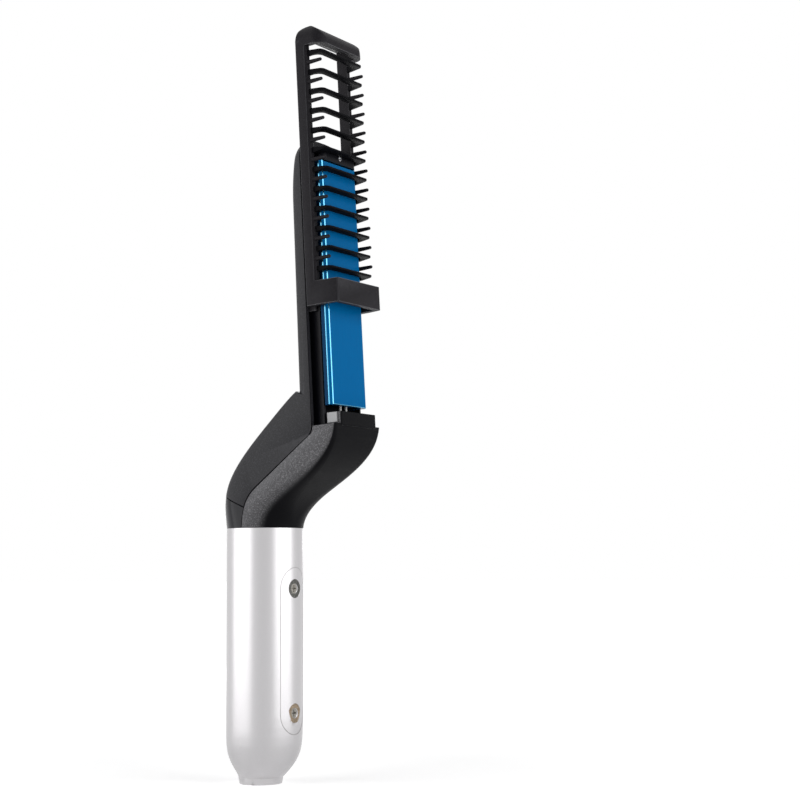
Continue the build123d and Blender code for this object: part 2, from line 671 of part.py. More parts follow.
def plate_end_cap():
    """Plastic cap that closes the plate's upper end and clamps it to the chassis."""
    z0 = PLATE_TOP + END_CAP_GAP
    cap = block(CHASSIS_FLOOR, END_CAP_FRONT, -LIP_INNER + FIT_GAP, LIP_INNER - FIT_GAP, z0, CHASSIS_TOP)
    cap = fillet(cap.edges().filter_by(Axis.Z).group_by(Axis.X)[-1], END_CAP_CORNER)
    plug_half = PLATE_LEG_HALF_WIDTH - PLATE_SIDE_WALL - HEATER_SIDE_GAP
    cap += block(0.0, PLATE_FRONT - PLATE_WEB - 0.2, -plug_half, plug_half, heater_span()[1] + 0.3, z0)
    cap -= rod_x(CHASSIS_FLOOR - 1, END_CAP_FRONT + 1, SMALL_SCREW_RADIUS, z=cap_screw_height())
    return cap - rod_x(END_CAP_FRONT - CAP_HEAD_HEIGHT, END_CAP_FRONT + 1, CAP_HEAD_RADIUS, z=cap_screw_height())


def cap_screw_height():
    return (PLATE_TOP + END_CAP_GAP + CHASSIS_TOP) / 2 + 0.4


def cap_screw():
    """Bright screw through the end cap into the chassis floor."""
    seat = END_CAP_FRONT - CAP_HEAD_HEIGHT
    one = screw_x(CAP_HEAD_RADIUS, CAP_HEAD_HEIGHT, SMALL_SCREW_RADIUS, seat - CHASSIS_FLOOR)
    return head_place(Pos(seat, 0, cap_screw_height()) * one)


# =====================================================================================
# Comb
# =====================================================================================
def tooth_heights(first_step, count):
    return [FIRST_TOOTH + TOOTH_PITCH * (first_step + 2 * index) for index in range(count)]


def comb_rails():
    """The two side rails, their back faces on the cover's seam and sides flush with it."""
    low, high = COLLAR_HEIGHT - 1, HEAD_TOP - DOME_HEIGHT
    rail = block(RAIL_BACK, RAIL_FRONT, RAIL_INNER, HEAD_HALF_WIDTH, low, high)
    rail = fillet(rail.edges().filter_by(Axis.Z).group_by(Axis.Y)[-1].sort_by(Axis.X)[-1:], 1.2)
    return both_sides(rail)


def comb_collar():
    """U-shaped collar at the comb's foot."""
    inner_front = COLLAR_FRONT - COLLAR_FRONT_WALL
    points = [(RAIL_BACK, HEAD_HALF_WIDTH), (COLLAR_FLAT, HEAD_HALF_WIDTH), (COLLAR_FRONT, COLLAR_NOSE_HALF_WIDTH)]
    outline = points + [(x, -y) for x, y in reversed(points)]
    body = extrude(make_face(Polyline(*outline, outline[0])), amount=COLLAR_HEIGHT)
    nose = body.edges().filter_by(Axis.Z).group_by(Axis.X)[-1]
    body = fillet(nose, COLLAR_NOSE_FILLET)
    return body - block(-1, inner_front, -RAIL_INNER, RAIL_INNER, -1, COLLAR_HEIGHT + 1)


def hook_back():
    """Back face of the comb's hooks, just clear of the chassis floor."""
    return CHASSIS_FLOOR + 2 * SLIDE_GAP


def comb_hook():
    """Foot that reaches back from the collar into the channel and under the lip's bead."""
    tongue_outer = COVER_INNER - SLIDE_GAP
    foot_inner = LIP_INNER + LIP_WEB + SLIDE_GAP
    foot_front = LIP_BEAD_BACK - 0.4
    top = COLLAR_HEIGHT - 2
    tongue = block(hook_back(), RAIL_BACK + 0.5, RAIL_INNER, tongue_outer, 0, top)
    foot = block(hook_back(), foot_front, foot_inner, tongue_outer, -HOOK_REACH, top)
    return tongue + foot


def comb_arch():
    """One bridge over the plate: two legs and a bar, thinning to its tip, centred on z = 0."""
    def hoop(reach, half, corner):
        face = Pos(reach / 2, 0, -2) * RectangleRounded(reach, 2 * half, corner)
        return extrude(face, amount=4)
    root, inner_reach, inner_half = RAIL_FRONT, TOOTH_TIP - ARCH_BAR, TOOTH_HALF_SPAN - ARCH_LEG
    outer = hoop(TOOTH_TIP, TOOTH_HALF_SPAN, ARCH_CORNER)
    inner = hoop(inner_reach, inner_half, ARCH_INNER_CORNER)
    inner += block(-5, inner_reach / 2, -inner_half, inner_half, -2, 2)
    frame = (outer - inner) & block(root, BIG, -BIG, BIG, -2, 2)
    wedge = Polyline((root, 0, -ARCH_ROOT_HALF), (TOOTH_TIP, 0, -ARCH_TIP_HALF), (TOOTH_TIP, 0, ARCH_TIP_HALF),
                     (root, 0, ARCH_ROOT_HALF), (root, 0, -ARCH_ROOT_HALF))
    return frame & xz_prism(wedge)


def comb_peg():
    """One round-tipped tooth standing on a rail."""
    root, tip = RAIL_FRONT - 0.6, PEG_TIP - PEG_TIP_RADIUS
    cone = Pos((root + tip) / 2, 0, 0) * Rot(0, 90, 0) * Cone(PEG_ROOT_RADIUS, PEG_TIP_RADIUS, tip - root)
    return cone + Pos(tip, 0, 0) * Sphere(PEG_TIP_RADIUS)


def comb_cap():
    """Closed end of the comb: it finishes the head's dome and carries the last, broad tooth."""
    cap = head_body() & block(RAIL_BACK, BIG, -BIG, BIG, CAP_BOTTOM, BIG)
    cap -= block(-1, CAP_LIP_BACK, -RAIL_INNER, RAIL_INNER, 0, CAP_UNDERSIDE)
    return cap


def comb_frame():
    """Moulded frame of the comb in its seated place: collar, rails, hooks, closed end and pegs."""
    body = comb_collar()
    for rail in comb_rails():
        body += rail
    for hook in both_sides(comb_hook()):
        body += hook
    body += comb_cap()
    peg, peg_y = comb_peg(), TOOTH_HALF_SPAN
    pegs = [Pos(0, side * peg_y, z) * peg for z in tooth_heights(1, ARCH_COUNT - 1) for side in (1, -1)]
    return body.fuse(*pegs)


def comb_bridges():
    """The broad teeth that bridge the comb from rail to rail, each with its feet on the rails."""
    arch = comb_arch()
    return [Pos(0, 0, z) * arch for z in tooth_heights(0, ARCH_COUNT)]


# =====================================================================================
# Slide switch
# =====================================================================================
def switch_frame(shape):
    """Turn a shape drawn with +Y pointing outwards to the middle of the switch window."""
    return Rot(0, 0, SWITCH_ARC / 2) * shape


def switch_case_bottom():
    return SWITCH_BOTTOM - 4.0


def slider_bottom():
    return SWITCH_BOTTOM + 0.3


def switch_slider():
    """Button of the slide switch: curved skin, finger nub at its upper end, stem into the case."""
    z0, z1 = slider_bottom(), slider_bottom() + SLIDER_HEIGHT
    inner = HANDLE_BORE + 0.12
    outer = inner + SLIDER_SKIN
    crest = outer + NUB_RISE
    outline = [
        Line((inner, 0, z0), (outer, 0, z0)),
        Line((outer, 0, z0), (outer, 0, z0 + 4.4)),
        Bezier((outer, 0, z0 + 4.4), (outer, 0, z0 + 6.6), (crest - 0.8, 0, z0 + 6.2), (crest, 0, z0 + 8.4)),
        Bezier((crest, 0, z0 + 8.4), (crest + 0.3, 0, z0 + 9.4), (crest - 0.2, 0, z1), (crest - 1.2, 0, z1)),
        Line((crest - 1.2, 0, z1), (inner, 0, z1)),
        Line((inner, 0, z1), (inner, 0, z0)),
    ]
    skin = revolve(make_face(outline), axis=Axis.Z)
    skin = skin & sector(1.3, SWITCH_ARC - 1.3, 0, HANDLE_HEIGHT + 20)
    stem_z = z0 + SLIDER_HEIGHT / 2 - STEM_HEIGHT / 2
    stem = block(-STEM_WIDTH / 2, STEM_WIDTH / 2, SWITCH_CASE_FACE - 2, inner + 0.9, stem_z, stem_z + STEM_HEIGHT)
    return skin + switch_frame(stem)


def switch_case():
    """Case of the slide switch with the slot its stem runs in."""
    z0 = switch_case_bottom()
    back = SWITCH_CASE_FACE - SWITCH_CASE_DEPTH
    half = SWITCH_CASE_WIDTH / 2
    case = block(-half, half, back, SWITCH_CASE_FACE, z0, z0 + SWITCH_CASE_HEIGHT)
    stem_z = slider_bottom() + SLIDER_HEIGHT / 2 - STEM_HEIGHT / 2
    slot = block(-STEM_WIDTH / 2 - 0.3, STEM_WIDTH / 2 + 0.3, SWITCH_CASE_FACE - 2.6, SWITCH_CASE_FACE + 1,
                 stem_z - 0.3, stem_z + STEM_HEIGHT + SLIDER_TRAVEL + 0.3)
    return switch_frame(case - slot)


def switch_terminals():
    """Three solder tags on the back of the switch case."""
    back = SWITCH_CASE_FACE - SWITCH_CASE_DEPTH
    z0 = switch_case_bottom()
    tags = []
    for step in (0.25, 0.5, 0.75):
        z = z0 + SWITCH_CASE_HEIGHT * step
        tags.append(switch_frame(block(-0.8, 0.8, back - 2.6, back, z - 0.3, z + 0.3)))
    return Compound(tags)


# =====================================================================================
# Control board, cord swivel and leads
# =====================================================================================
def board_screw_heights():
    return (BOARD_BOTTOM + BOARD_SCREW_INSET, BOARD_TOP - BOARD_SCREW_INSET)


def board_face():
    return BOARD_BACK + BOARD_THICKNESS


def control_board():
    """Printed board on the back shell's pillars."""
    board = block(BOARD_BACK, board_face(), -BOARD_HALF_WIDTH, BOARD_HALF_WIDTH, BOARD_BOTTOM, BOARD_TOP)
    for z in board_screw_heights():
        board -= rod_x(BOARD_BACK - 1, board_face() + 1, SMALL_SCREW_RADIUS + FIT_GAP, z=z)
    return board


def board_screws():
    one = screw_x(SMALL_HEAD_RADIUS, SMALL_HEAD_HEIGHT, SMALL_SCREW_RADIUS, 6.5)
    return Compound([Pos(board_face(), 0, z) * one for z in board_screw_heights()])


def smoothing_capacitor():
    """Round capacitor standing on the board."""
    face = board_face()
    can = rod_x(face, face + 8.5, 4.0, y=3.5, z=BOARD_BOTTOM + 15)
    return fillet(can.edges().group_by(Axis.X)[-1], 0.5)


def power_triac():
    """Flat power switch with its metal tab against the board."""
    face = board_face()
    body = block(face + 1.2, face + 4.4, -8.5, 1.5, BOARD_BOTTOM + 23, BOARD_BOTTOM + 32)
    tab = block(face, face + 1.2, -8.5, 1.5, BOARD_BOTTOM + 23, BOARD_BOTTOM + 35)
    return body + tab


def dropper_resistor():
    """Ceramic resistor block beside the capacitor."""
    face = board_face()
    return block(face, face + 5, -8.5, -3.5, BOARD_BOTTOM + 8, BOARD_BOTTOM + 21)


def swivel_bush():
    """Turning bush that the cord leaves through: flange in the handle's groove, hollow stem."""
    z1 = SWIVEL_FLANGE_BOTTOM
    body = Pos(0, 0, END_BLOCK_HEIGHT / 2) * Cylinder(SWIVEL_RADIUS, END_BLOCK_HEIGHT)
    body += Pos(0, 0, z1 + SWIVEL_FLANGE_HEIGHT / 2) * Cylinder(SWIVEL_FLANGE_RADIUS, SWIVEL_FLANGE_HEIGHT)
    body += Pos(0, 0, (END_BLOCK_HEIGHT + SWIVEL_TOP) / 2) * Cylinder(
        SWIVEL_STEM_RADIUS, SWIVEL_TOP - END_BLOCK_HEIGHT)
    return Pos(END_OFFSET, 0, 0) * (body - Cylinder(CORD_BORE_RADIUS, 2 * SWIVEL_TOP + 2))


def contact_ring_heights():
    return (END_BLOCK_HEIGHT + 2.2, END_BLOCK_HEIGHT + 6.0)


def contact_rings():
    """Two brass rings round the swivel's stem."""
    outer = SWIVEL_STEM_RADIUS + 0.6
    rings = [ring(SWIVEL_STEM_RADIUS, outer, z, z + 1.8) for z in contact_ring_heights()]
    return Compound([Pos(END_OFFSET, 0, 0) * one for one in rings])


def contact_carrier():
    """Fixed plastic cup round the stem, standing on the handle's solid end."""
    cup = ring(CARRIER_RADIUS - CARRIER_WALL, CARRIER_RADIUS, END_BLOCK_HEIGHT, SWIVEL_TOP)
    for side, z in zip((1, -1), contact_ring_heights()):
        y0, y1 = sorted((side * 4, side * 12))
        cup -= block(-1.0, 1.0, y0, y1, z + 0.3, z + 1.5)
    return Pos(END_OFFSET, 0, 0) * cup


def contact_brushes():
    """Spring contacts through the cup's wall, one on each brass ring."""
    brushes = []
    touch = SWIVEL_STEM_RADIUS + 0.6 + 0.05
    for side, z in zip((1, -1), contact_ring_heights()):
        y0, y1 = sorted((side * touch, side * BRUSH_END))
        brushes.append(block(END_OFFSET - 1.0, END_OFFSET + 1.0, y0, y1, z + 0.3, z + 1.5))
    return Compound(brushes)


def wire(points, bend):
    """Round insulated wire of straight runs joined by tangent arcs."""
    path = FilletPolyline(*points, radius=bend)
    start = Plane(origin=path @ 0, z_dir=path % 0)
    return sweep(start * Circle(WIRE_RADIUS).face(), path=path)


def heater_leads():
    """Two leads from the heater down through the neck to the control board."""
    leads = []
    x = PLATE_FRONT - PLATE_WEB - HEATER_THICKNESS / 2
    for side in (1, -1):
        start = head_point(x, heater_span()[0])
        below = head_point(x, 1.0)
        drop = head_point(x + 1.0, -6)
        route = [
            (start[0], 2.0 * side, start[1]),
            (below[0], 2.0 * side, below[1]),
            (drop[0], 2.6 * side, drop[1]),
            (NECK_REACH - 23, 4.4 * side, HANDLE_HEIGHT + 20.5),
            (3.5, 6.3 * side, HANDLE_HEIGHT - 2),
            (3.0, 6.6 * side, BOARD_TOP - 4.0),
            (board_face(), 6.6 * side, BOARD_TOP - 4.0),
        ]
        leads.append(wire(route, HEATER_LEAD_BEND))
    return Compound(leads)


def supply_leads():
    """Two leads from the swivel's contacts up to the control board."""
    leads = []
    for side, z in zip((1, -1), contact_ring_heights()):
        route = [
            (END_OFFSET, BRUSH_END * side, z + 0.9),
            (END_OFFSET, (BRUSH_END + 1.2) * side, z + 0.9),
            (1.6, 9.2 * side, BOARD_BOTTOM - 3.0),
            (1.6, 8.2 * side, BOARD_BOTTOM + 4.0),
            (board_face(), 8.2 * side, BOARD_BOTTOM + 4.0),
        ]
        leads.append(wire(route, SUPPLY_LEAD_BEND))
    return Compound(leads)


# =====================================================================================
# Export
# =====================================================================================
def build_parts():
    """Every piece of the hot comb, by node name, at rest with the comb slid out."""
    return {name: Pos(-END_OFFSET, 0, 0) * shape for name, shape in drawn_parts().items()}


def drawn_parts():
    """The pieces about the handle's axis, before the shift to the cord bore."""
    neck, hollow = neck_body(), neck_hollow()
    blank = band_blank(neck, hollow)
    pockets = both_sides(latch_pockets())
    front = neck_front_shell(neck, hollow)
    for pocket in pockets:
        front -= head_place(pocket)
    return {
        "handle_front_shell": handle_front_shell(),
        "handle_back_shell": handle_back_shell(),
        "handle_screws": handle_screws(),
        "neck_front_shell": front,
        "latch_pads": Compound([head_place(pad) for pad in both_sides(latch_pads())]),
        "head_back_cover": head_back_cover(neck, hollow),
        "indicator_band": indicator_band(neck, hollow),
        "indicator_rays": Compound([blank & prism for prism in indicator_rays()]),
        "led_board": led_board(),
        "indicator_lamp": indicator_lamp(),
        "head_chassis": head_place(head_chassis()),
        "chassis_screws": chassis_screws(),
        "heat_plate": head_place(heat_plate()),
        "heater_element": head_place(heater_element()),
        "heater_insulation": head_place(heater_insulation()),
        "thermal_cutout": head_place(thermal_cutout()),
        "plate_end_cap": head_place(plate_end_cap()),
        "cap_screw": cap_screw(),
        "comb_frame": head_place(comb_frame(), lift=COMB_SLID_OUT),
        "comb_bridges": Compound([head_place(one, lift=COMB_SLID_OUT) for one in comb_bridges()]),
        "switch_slider": switch_slider(),
        "switch_case": switch_case(),
        "switch_terminals": switch_terminals(),
        "control_board": control_board(),
        "board_screws": board_screws(),
        "smoothing_capacitor": smoothing_capacitor(),
        "power_triac": power_triac(),
        "dropper_resistor": dropper_resistor(),
        "swivel_bush": swivel_bush(),
        "contact_rings": contact_rings(),
        "contact_carrier": contact_carrier(),
        "contact_brushes": contact_brushes(),
        "heater_leads": heater_leads(),
        "supply_leads": supply_leads(),
    }


os.makedirs("parts", exist_ok=True)
for name, shape in build_parts().items():
    export_step(shape, f"parts/{name}.step")
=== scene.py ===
"""Dressed scene of a corded hot comb: a heated bar under a slide-on comb, on a cranked neck and handle.

Metres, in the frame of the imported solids: +Z up the handle, +X towards the teeth, origin at the cord bore.
Each sub-assembly is a class that dresses its own nodes and builds what the solids leave plain.
Lengths in the classes' fields are millimetres; MM turns them into metres.
"""

import json
import logging
import math
from dataclasses import dataclass
from enum import Enum
from typing import Callable

import bmesh
import bpy
from mathutils import Euler, Matrix, Vector

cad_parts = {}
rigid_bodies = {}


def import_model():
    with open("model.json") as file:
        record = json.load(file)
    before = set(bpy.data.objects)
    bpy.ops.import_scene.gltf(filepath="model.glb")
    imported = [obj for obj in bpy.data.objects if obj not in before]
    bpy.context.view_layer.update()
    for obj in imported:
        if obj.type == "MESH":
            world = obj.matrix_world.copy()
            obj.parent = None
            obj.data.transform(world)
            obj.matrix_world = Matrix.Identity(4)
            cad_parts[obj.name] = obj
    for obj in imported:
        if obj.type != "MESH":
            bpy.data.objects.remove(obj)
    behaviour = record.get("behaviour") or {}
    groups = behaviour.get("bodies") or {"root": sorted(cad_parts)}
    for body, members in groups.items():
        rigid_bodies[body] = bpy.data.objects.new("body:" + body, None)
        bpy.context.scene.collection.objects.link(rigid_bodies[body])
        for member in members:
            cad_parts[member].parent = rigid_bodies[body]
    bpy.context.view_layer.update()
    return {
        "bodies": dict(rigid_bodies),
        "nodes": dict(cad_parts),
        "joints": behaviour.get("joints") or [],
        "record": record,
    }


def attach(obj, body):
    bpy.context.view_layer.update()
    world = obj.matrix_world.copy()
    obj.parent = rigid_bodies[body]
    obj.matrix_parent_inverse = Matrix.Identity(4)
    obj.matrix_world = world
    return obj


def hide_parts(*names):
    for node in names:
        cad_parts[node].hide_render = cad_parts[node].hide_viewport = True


logging.basicConfig(level=logging.INFO, format="%(message)s")
LOG = logging.getLogger("hot_comb")

Colour = tuple[float, float, float]
Triple = tuple[float, float, float]
Table = tuple[tuple[float, float], ...]

MM = 0.001
HANDLE_AXIS_X = 2.0
HANDLE_RADIUS = 16.2
HEAD_TILT_DEGREES = 3.13


class Body(str, Enum):
    """Rigid bodies that the built pieces ride on."""

    HOUSING = "housing"
    COMB = "comb_body"


class Slot(str, Enum):
    """Material slots of the record that the built pieces belong to."""

    PEARL = "pearl_plastic"
    NECK = "neck_plastic"
    CHARCOAL = "charcoal_plastic"
    BLUE = "blue_anodised"
    COMB = "comb_plastic"


# =====================================================================================
# Node helpers
# =====================================================================================
def link(tree: bpy.types.NodeTree, source: bpy.types.NodeSocket, target: bpy.types.NodeSocket) -> None:
    """Join two sockets of a tree."""
    tree.links.new(source, target)


def feed(tree: bpy.types.NodeTree, socket: bpy.types.NodeSocket, value: object) -> None:
    """Give a socket its value.

    Args:
        tree: the tree it is in.
        socket: the socket.
        value: another socket to link it to, or a plain value.
    """
    if isinstance(value, bpy.types.NodeSocket):
        link(tree, value, socket)
    else:
        socket.default_value = value


def add_node(tree: bpy.types.NodeTree, kind: str, inputs: dict[str | int, object] | None = None,
             **settings: object) -> bpy.types.Node:
    """Add a node, set it up and feed its sockets.

    Args:
        tree: the tree it goes into.
        kind: the node's type.
        inputs: values or source sockets, by socket name or number.
        settings: properties of the node itself.

    Returns:
        The new node.
    """
    node = tree.nodes.new(kind)
    for name, value in settings.items():
        setattr(node, name, value)
    for key, value in (inputs or {}).items():
        feed(tree, node.inputs[key], value)
    return node


def maths(tree: bpy.types.NodeTree, operation: str, *values: object,
          clamp: bool = False) -> bpy.types.NodeSocket:
    """Result of one sum on values or sockets."""
    node = add_node(tree, "ShaderNodeMath", dict(enumerate(values)), operation=operation, use_clamp=clamp)
    return node.outputs[0]


def mixed(tree: bpy.types.NodeTree, factor: object, first: object, second: object) -> bpy.types.NodeSocket:
    """Blend of two colours."""
    node = add_node(tree, "ShaderNodeMix", {"Factor": factor, 6: first, 7: second}, data_type="RGBA")
    return node.outputs[2]


def ranged(tree: bpy.types.NodeTree, value: object, low: float, high: float,
           first: float = 0.0, last: float = 1.0) -> bpy.types.NodeSocket:
    """Value moved from the range low to high into the range first to last, and held inside it."""
    node = add_node(tree, "ShaderNodeMapRange", {"Value": value, "From Min": low, "From Max": high,
                                                 "To Min": first, "To Max": last})
    return node.outputs["Result"]


def noise(tree: bpy.types.NodeTree, place: bpy.types.NodeSocket, scale: object,
          **more: float) -> bpy.types.NodeSocket:
    """Value of a noise texture."""
    return add_node(tree, "ShaderNodeTexNoise", {"Vector": place, "Scale": scale, **more}).outputs["Fac"]


def object_place(tree: bpy.types.NodeTree) -> bpy.types.NodeSocket:
    """Object coordinates."""
    return add_node(tree, "ShaderNodeTexCoord").outputs["Object"]


def add_socket(tree: bpy.types.NodeTree, name: str, kind: str, value: object = None,
               output: bool = False) -> None:
    """Add a named socket to a group's interface, with its default.

    Args:
        tree: the node group.
        name: the socket's name.
        kind: Float, Color, Vector, Int, Geometry, Material or Object.
        value: the default value, if it has one.
        output: True for an output.
    """
    socket = tree.interface.new_socket(name=name, in_out="OUTPUT" if output else "INPUT",
                                       socket_type=f"NodeSocket{kind}")
    if value is not None:
        socket.default_value = value


def group_ends(tree: bpy.types.NodeTree, inputs: tuple[tuple, ...], outputs: tuple[tuple[str, str], ...]
               ) -> tuple[bpy.types.bpy_prop_collection, bpy.types.bpy_prop_collection]:
    """Make a group's sockets.

    Args:
        tree: the node group.
        inputs: name, kind and default value of each input.
        outputs: name and kind of each output.

    Returns:
        The sockets that carry the inputs, and the sockets that take the outputs.
    """
    for entry in inputs:
        add_socket(tree, *entry)
    for name, kind in outputs:
        add_socket(tree, name, kind, output=True)
    return tree.nodes.new("NodeGroupInput").outputs, tree.nodes.new("NodeGroupOutput").inputs


def add_group(tree: bpy.types.NodeTree, name: str, build: Callable[[bpy.types.NodeTree], None],
              inputs: dict[str, object]) -> bpy.types.Node:
    """Add a shared shader group to a material; the group is built once.

    Args:
        tree: the material's tree.
        name: the group's name.
        build: makes the sockets and nodes of a new group.
        inputs: values or source sockets of the group here.

    Returns:
        The group's node.
    """
    found = bpy.data.node_groups.get(name)
    if found is None:
        found = bpy.data.node_groups.new(name, "ShaderNodeTree")
        build(found)
    return add_node(tree, "ShaderNodeGroup", inputs, node_tree=found)


# =====================================================================================
# Shared shader groups
# =====================================================================================
TEXTURE_OUTPUTS = (("Colour", "Color"), ("Rough", "Float"), ("Normal", "Vector"))
MID_NOISE = 0.5
FLECK_BAND = (0.50, 0.72)
GRAIN_DETAIL, GRAIN_ROUGHNESS, GRAIN_DEPTH = 3.0, 0.65, 0.0002
CLOUD_SCALE, CLOUD_DETAIL = 45.0, 2.0
WORN_BAND = (0.52, 0.62)
WORN_PATCH_SCALE = 400.0
BRUSH_DETAIL, BRUSH_DEPTH = 4.0, 0.0001


def drifting(tree: bpy.types.NodeTree, value: bpy.types.NodeSocket,
             inputs: bpy.types.bpy_prop_collection) -> bpy.types.NodeSocket:
    """Roughness that drifts with a noise to either side of its own value."""
    drift = maths(tree, "SUBTRACT", value, MID_NOISE)
    return maths(tree, "MULTIPLY_ADD", drift, inputs["Roughness Drift"], inputs["Roughness"])


def bumped(tree: bpy.types.NodeTree, height: bpy.types.NodeSocket, strength: bpy.types.NodeSocket,
           depth: float) -> bpy.types.NodeSocket:
    """Normal tilted by a height that is depth metres from low to high."""
    bump = add_node(tree, "ShaderNodeBump", {"Strength": strength, "Distance": depth, "Height": height})
    return bump.outputs["Normal"]


def build_grain(tree: bpy.types.NodeTree) -> None:
    """Moulded grain: colour flecks, roughness drift and a bumped normal, all on Object coordinates.

    Args:
        tree: the new, empty group.
    """
    inputs, outputs = group_ends(tree, (
        ("Base", "Color", (0.1, 0.1, 0.1, 1)), ("Fleck", "Color", (0.2, 0.2, 0.2, 1)),
        ("Fleck Amount", "Float", 0.3), ("Grain Size", "Float", 0.4), ("Relief", "Float", 0.1),
        ("Roughness", "Float", 0.5), ("Roughness Drift", "Float", 0.08),
    ), TEXTURE_OUTPUTS)
    place = object_place(tree)
    scale = maths(tree, "DIVIDE", 1 / MM, inputs["Grain Size"])
    grain = noise(tree, place, scale, Detail=GRAIN_DETAIL, Roughness=GRAIN_ROUGHNESS)
    cloud = noise(tree, place, CLOUD_SCALE, Detail=CLOUD_DETAIL)
    amount = maths(tree, "MULTIPLY", ranged(tree, grain, *FLECK_BAND), inputs["Fleck Amount"])
    link(tree, mixed(tree, amount, inputs["Base"], inputs["Fleck"]), outputs["Colour"])
    link(tree, drifting(tree, cloud, inputs), outputs["Rough"])
    link(tree, bumped(tree, grain, inputs["Relief"], GRAIN_DEPTH), outputs["Normal"])


def build_edge_wear(tree: bpy.types.NodeTree) -> None:
    """Lighten the crisp edges of a piece where handling has rubbed them.

    Args:
        tree: the new, empty group.
    """
    inputs, outputs = group_ends(tree, (
        ("Colour", "Color", (0.1, 0.1, 0.1, 1)), ("Worn", "Color", (0.3, 0.3, 0.3, 1)), ("Wear", "Float", 0.4),
    ), (("Colour", "Color"),))
    geometry = add_node(tree, "ShaderNodeNewGeometry")
    edge = ranged(tree, geometry.outputs["Pointiness"], *WORN_BAND)
    broken = maths(tree, "MULTIPLY", edge, noise(tree, object_place(tree), WORN_PATCH_SCALE))
    amount = maths(tree, "MULTIPLY", broken, inputs["Wear"], clamp=True)
    link(tree, mixed(tree, amount, inputs["Colour"], inputs["Worn"]), outputs["Colour"])


def build_brushed(tree: bpy.types.NodeTree) -> None:
    """Fine lines of brushed metal: streaked colour, roughness drift and a bumped normal.

    Args:
        tree: the new, empty group.
    """
    inputs, outputs = group_ends(tree, (
        ("Base", "Color", (0.5, 0.5, 0.5, 1)), ("Streak", "Color", (0.6, 0.6, 0.6, 1)),
        ("Stretch", "Vector", (1.0, 1.0, 1.0)), ("Relief", "Float", 0.1),
        ("Roughness", "Float", 0.35), ("Roughness Drift", "Float", 0.1),
    ), TEXTURE_OUTPUTS)
    stretched = add_node(tree, "ShaderNodeVectorMath", {0: object_place(tree), 1: inputs["Stretch"]},
                         operation="MULTIPLY")
    lines = noise(tree, stretched.outputs[0], 1.0, Detail=BRUSH_DETAIL)
    link(tree, mixed(tree, lines, inputs["Base"], inputs["Streak"]), outputs["Colour"])
    link(tree, drifting(tree, lines, inputs), outputs["Rough"])
    link(tree, bumped(tree, lines, inputs["Relief"], BRUSH_DEPTH), outputs["Normal"])


def build_one_side(tree: bpy.types.NodeTree) -> None:
    """Mask of the surfaces that face one way, from none at the low end to all at the high end.

    Args:
        tree: the new, empty group.
    """
    inputs, outputs = group_ends(tree, (
        ("Facing", "Vector", (1.0, 0.0, 0.0)), ("Low", "Float", 0.05), ("High", "Float", 0.35),
    ), (("Mask", "Float"),))
    geometry = add_node(tree, "ShaderNodeNewGeometry")
    along = add_node(tree, "ShaderNodeVectorMath", {0: geometry.outputs["Normal"], 1: inputs["Facing"]},
                     operation="DOT_PRODUCT")
    rise = add_node(tree, "ShaderNodeMapRange", {"Value": along.outputs["Value"], "From Min": inputs["Low"],
                                                 "From Max": inputs["High"]}, interpolation_type="SMOOTHSTEP")
    link(tree, rise.outputs["Result"], outputs["Mask"])


# =====================================================================================
# Finishes
# =====================================================================================
@dataclass(frozen=True)
class Surface:
    """What every finish has: a name, a main colour and a material that is built once."""

    name: str
    base: Colour

    def material(self) -> bpy.types.Material:
        """Build the material, or find it if it is already there.

        Returns:
            The material.
        """
        name = f"finish_{self.name}"
        material = bpy.data.materials.get(name)
        if material is None:
            material = bpy.data.materials.new(name)
            material.use_nodes = True
            material.diffuse_color = (*self.base, 1)
            self.wire(material.node_tree, material.node_tree.nodes["Principled BSDF"])
        return material

    def wire(self, tree: bpy.types.NodeTree, shader: bpy.types.Node) -> None:
        """Join the finish's own groups to the shader."""
        raise NotImplementedError


@dataclass(frozen=True)
class Finish(Surface):
    """A grained or smooth finish: moulded plastic, paint, rubber, resin or plated metal."""

    fleck: Colour
    fleck_amount: float
    grain_size: float
    relief: float
    roughness: float
    drift: float
    metallic: float = 0.0
    specular: float = 0.5
    coat: float = 0.0
    coat_roughness: float = 0.1
    wear: float = 0.0
    worn: Colour = (0.3, 0.3, 0.3)
    glow: float = 0.0
    # Surfaces facing this way take painted shade: the shade colour below and no metal sheen.
    shaded_facing: Triple | None = None
    painted_shade_colour: Colour = (0.005, 0.005, 0.006)

    def wire(self, tree: bpy.types.NodeTree, shader: bpy.types.Node) -> None:
        """Join the grain, the rubbed edges and the painted shade on one side to the shader.

        The little metal in a grained finish gives its sparkle; the side that faces one way is painted dark as
        shade and has no sparkle.

        Args:
            tree: the material's tree.
            shader: its Principled BSDF.
        """
        grain = add_group(tree, "moulded_grain", build_grain, {
            "Base": (*self.base, 1), "Fleck": (*self.fleck, 1), "Fleck Amount": self.fleck_amount,
            "Grain Size": self.grain_size, "Relief": self.relief, "Roughness": self.roughness,
            "Roughness Drift": self.drift}).outputs
        colour, metallic = grain["Colour"], self.metallic
        if self.wear > 0:
            colour = add_group(tree, "rubbed_edges", build_edge_wear, {
                "Colour": colour, "Worn": (*self.worn, 1), "Wear": self.wear}).outputs["Colour"]
        # Painted shade: the surfaces that face one way take a dark colour and lose their metal sheen.
        if self.shaded_facing is not None:
            side = add_group(tree, "one_side", build_one_side, {"Facing": self.shaded_facing}).outputs["Mask"]
            colour = mixed(tree, side, colour, (*self.painted_shade_colour, 1))
            metallic = ranged(tree, side, 0.0, 1.0, self.metallic, 0.0)
        if self.glow > 0:
            link(tree, colour, shader.inputs["Emission Color"])
            shader.inputs["Emission Strength"].default_value = self.glow
        for name, value in (
            ("Base Color", colour), ("Roughness", grain["Rough"]), ("Normal", grain["Normal"]),
            ("Specular IOR Level", self.specular), ("Metallic", metallic), ("Coat Weight", self.coat),
            ("Coat Roughness", self.coat_roughness),
        ):
            feed(tree, shader.inputs[name], value)


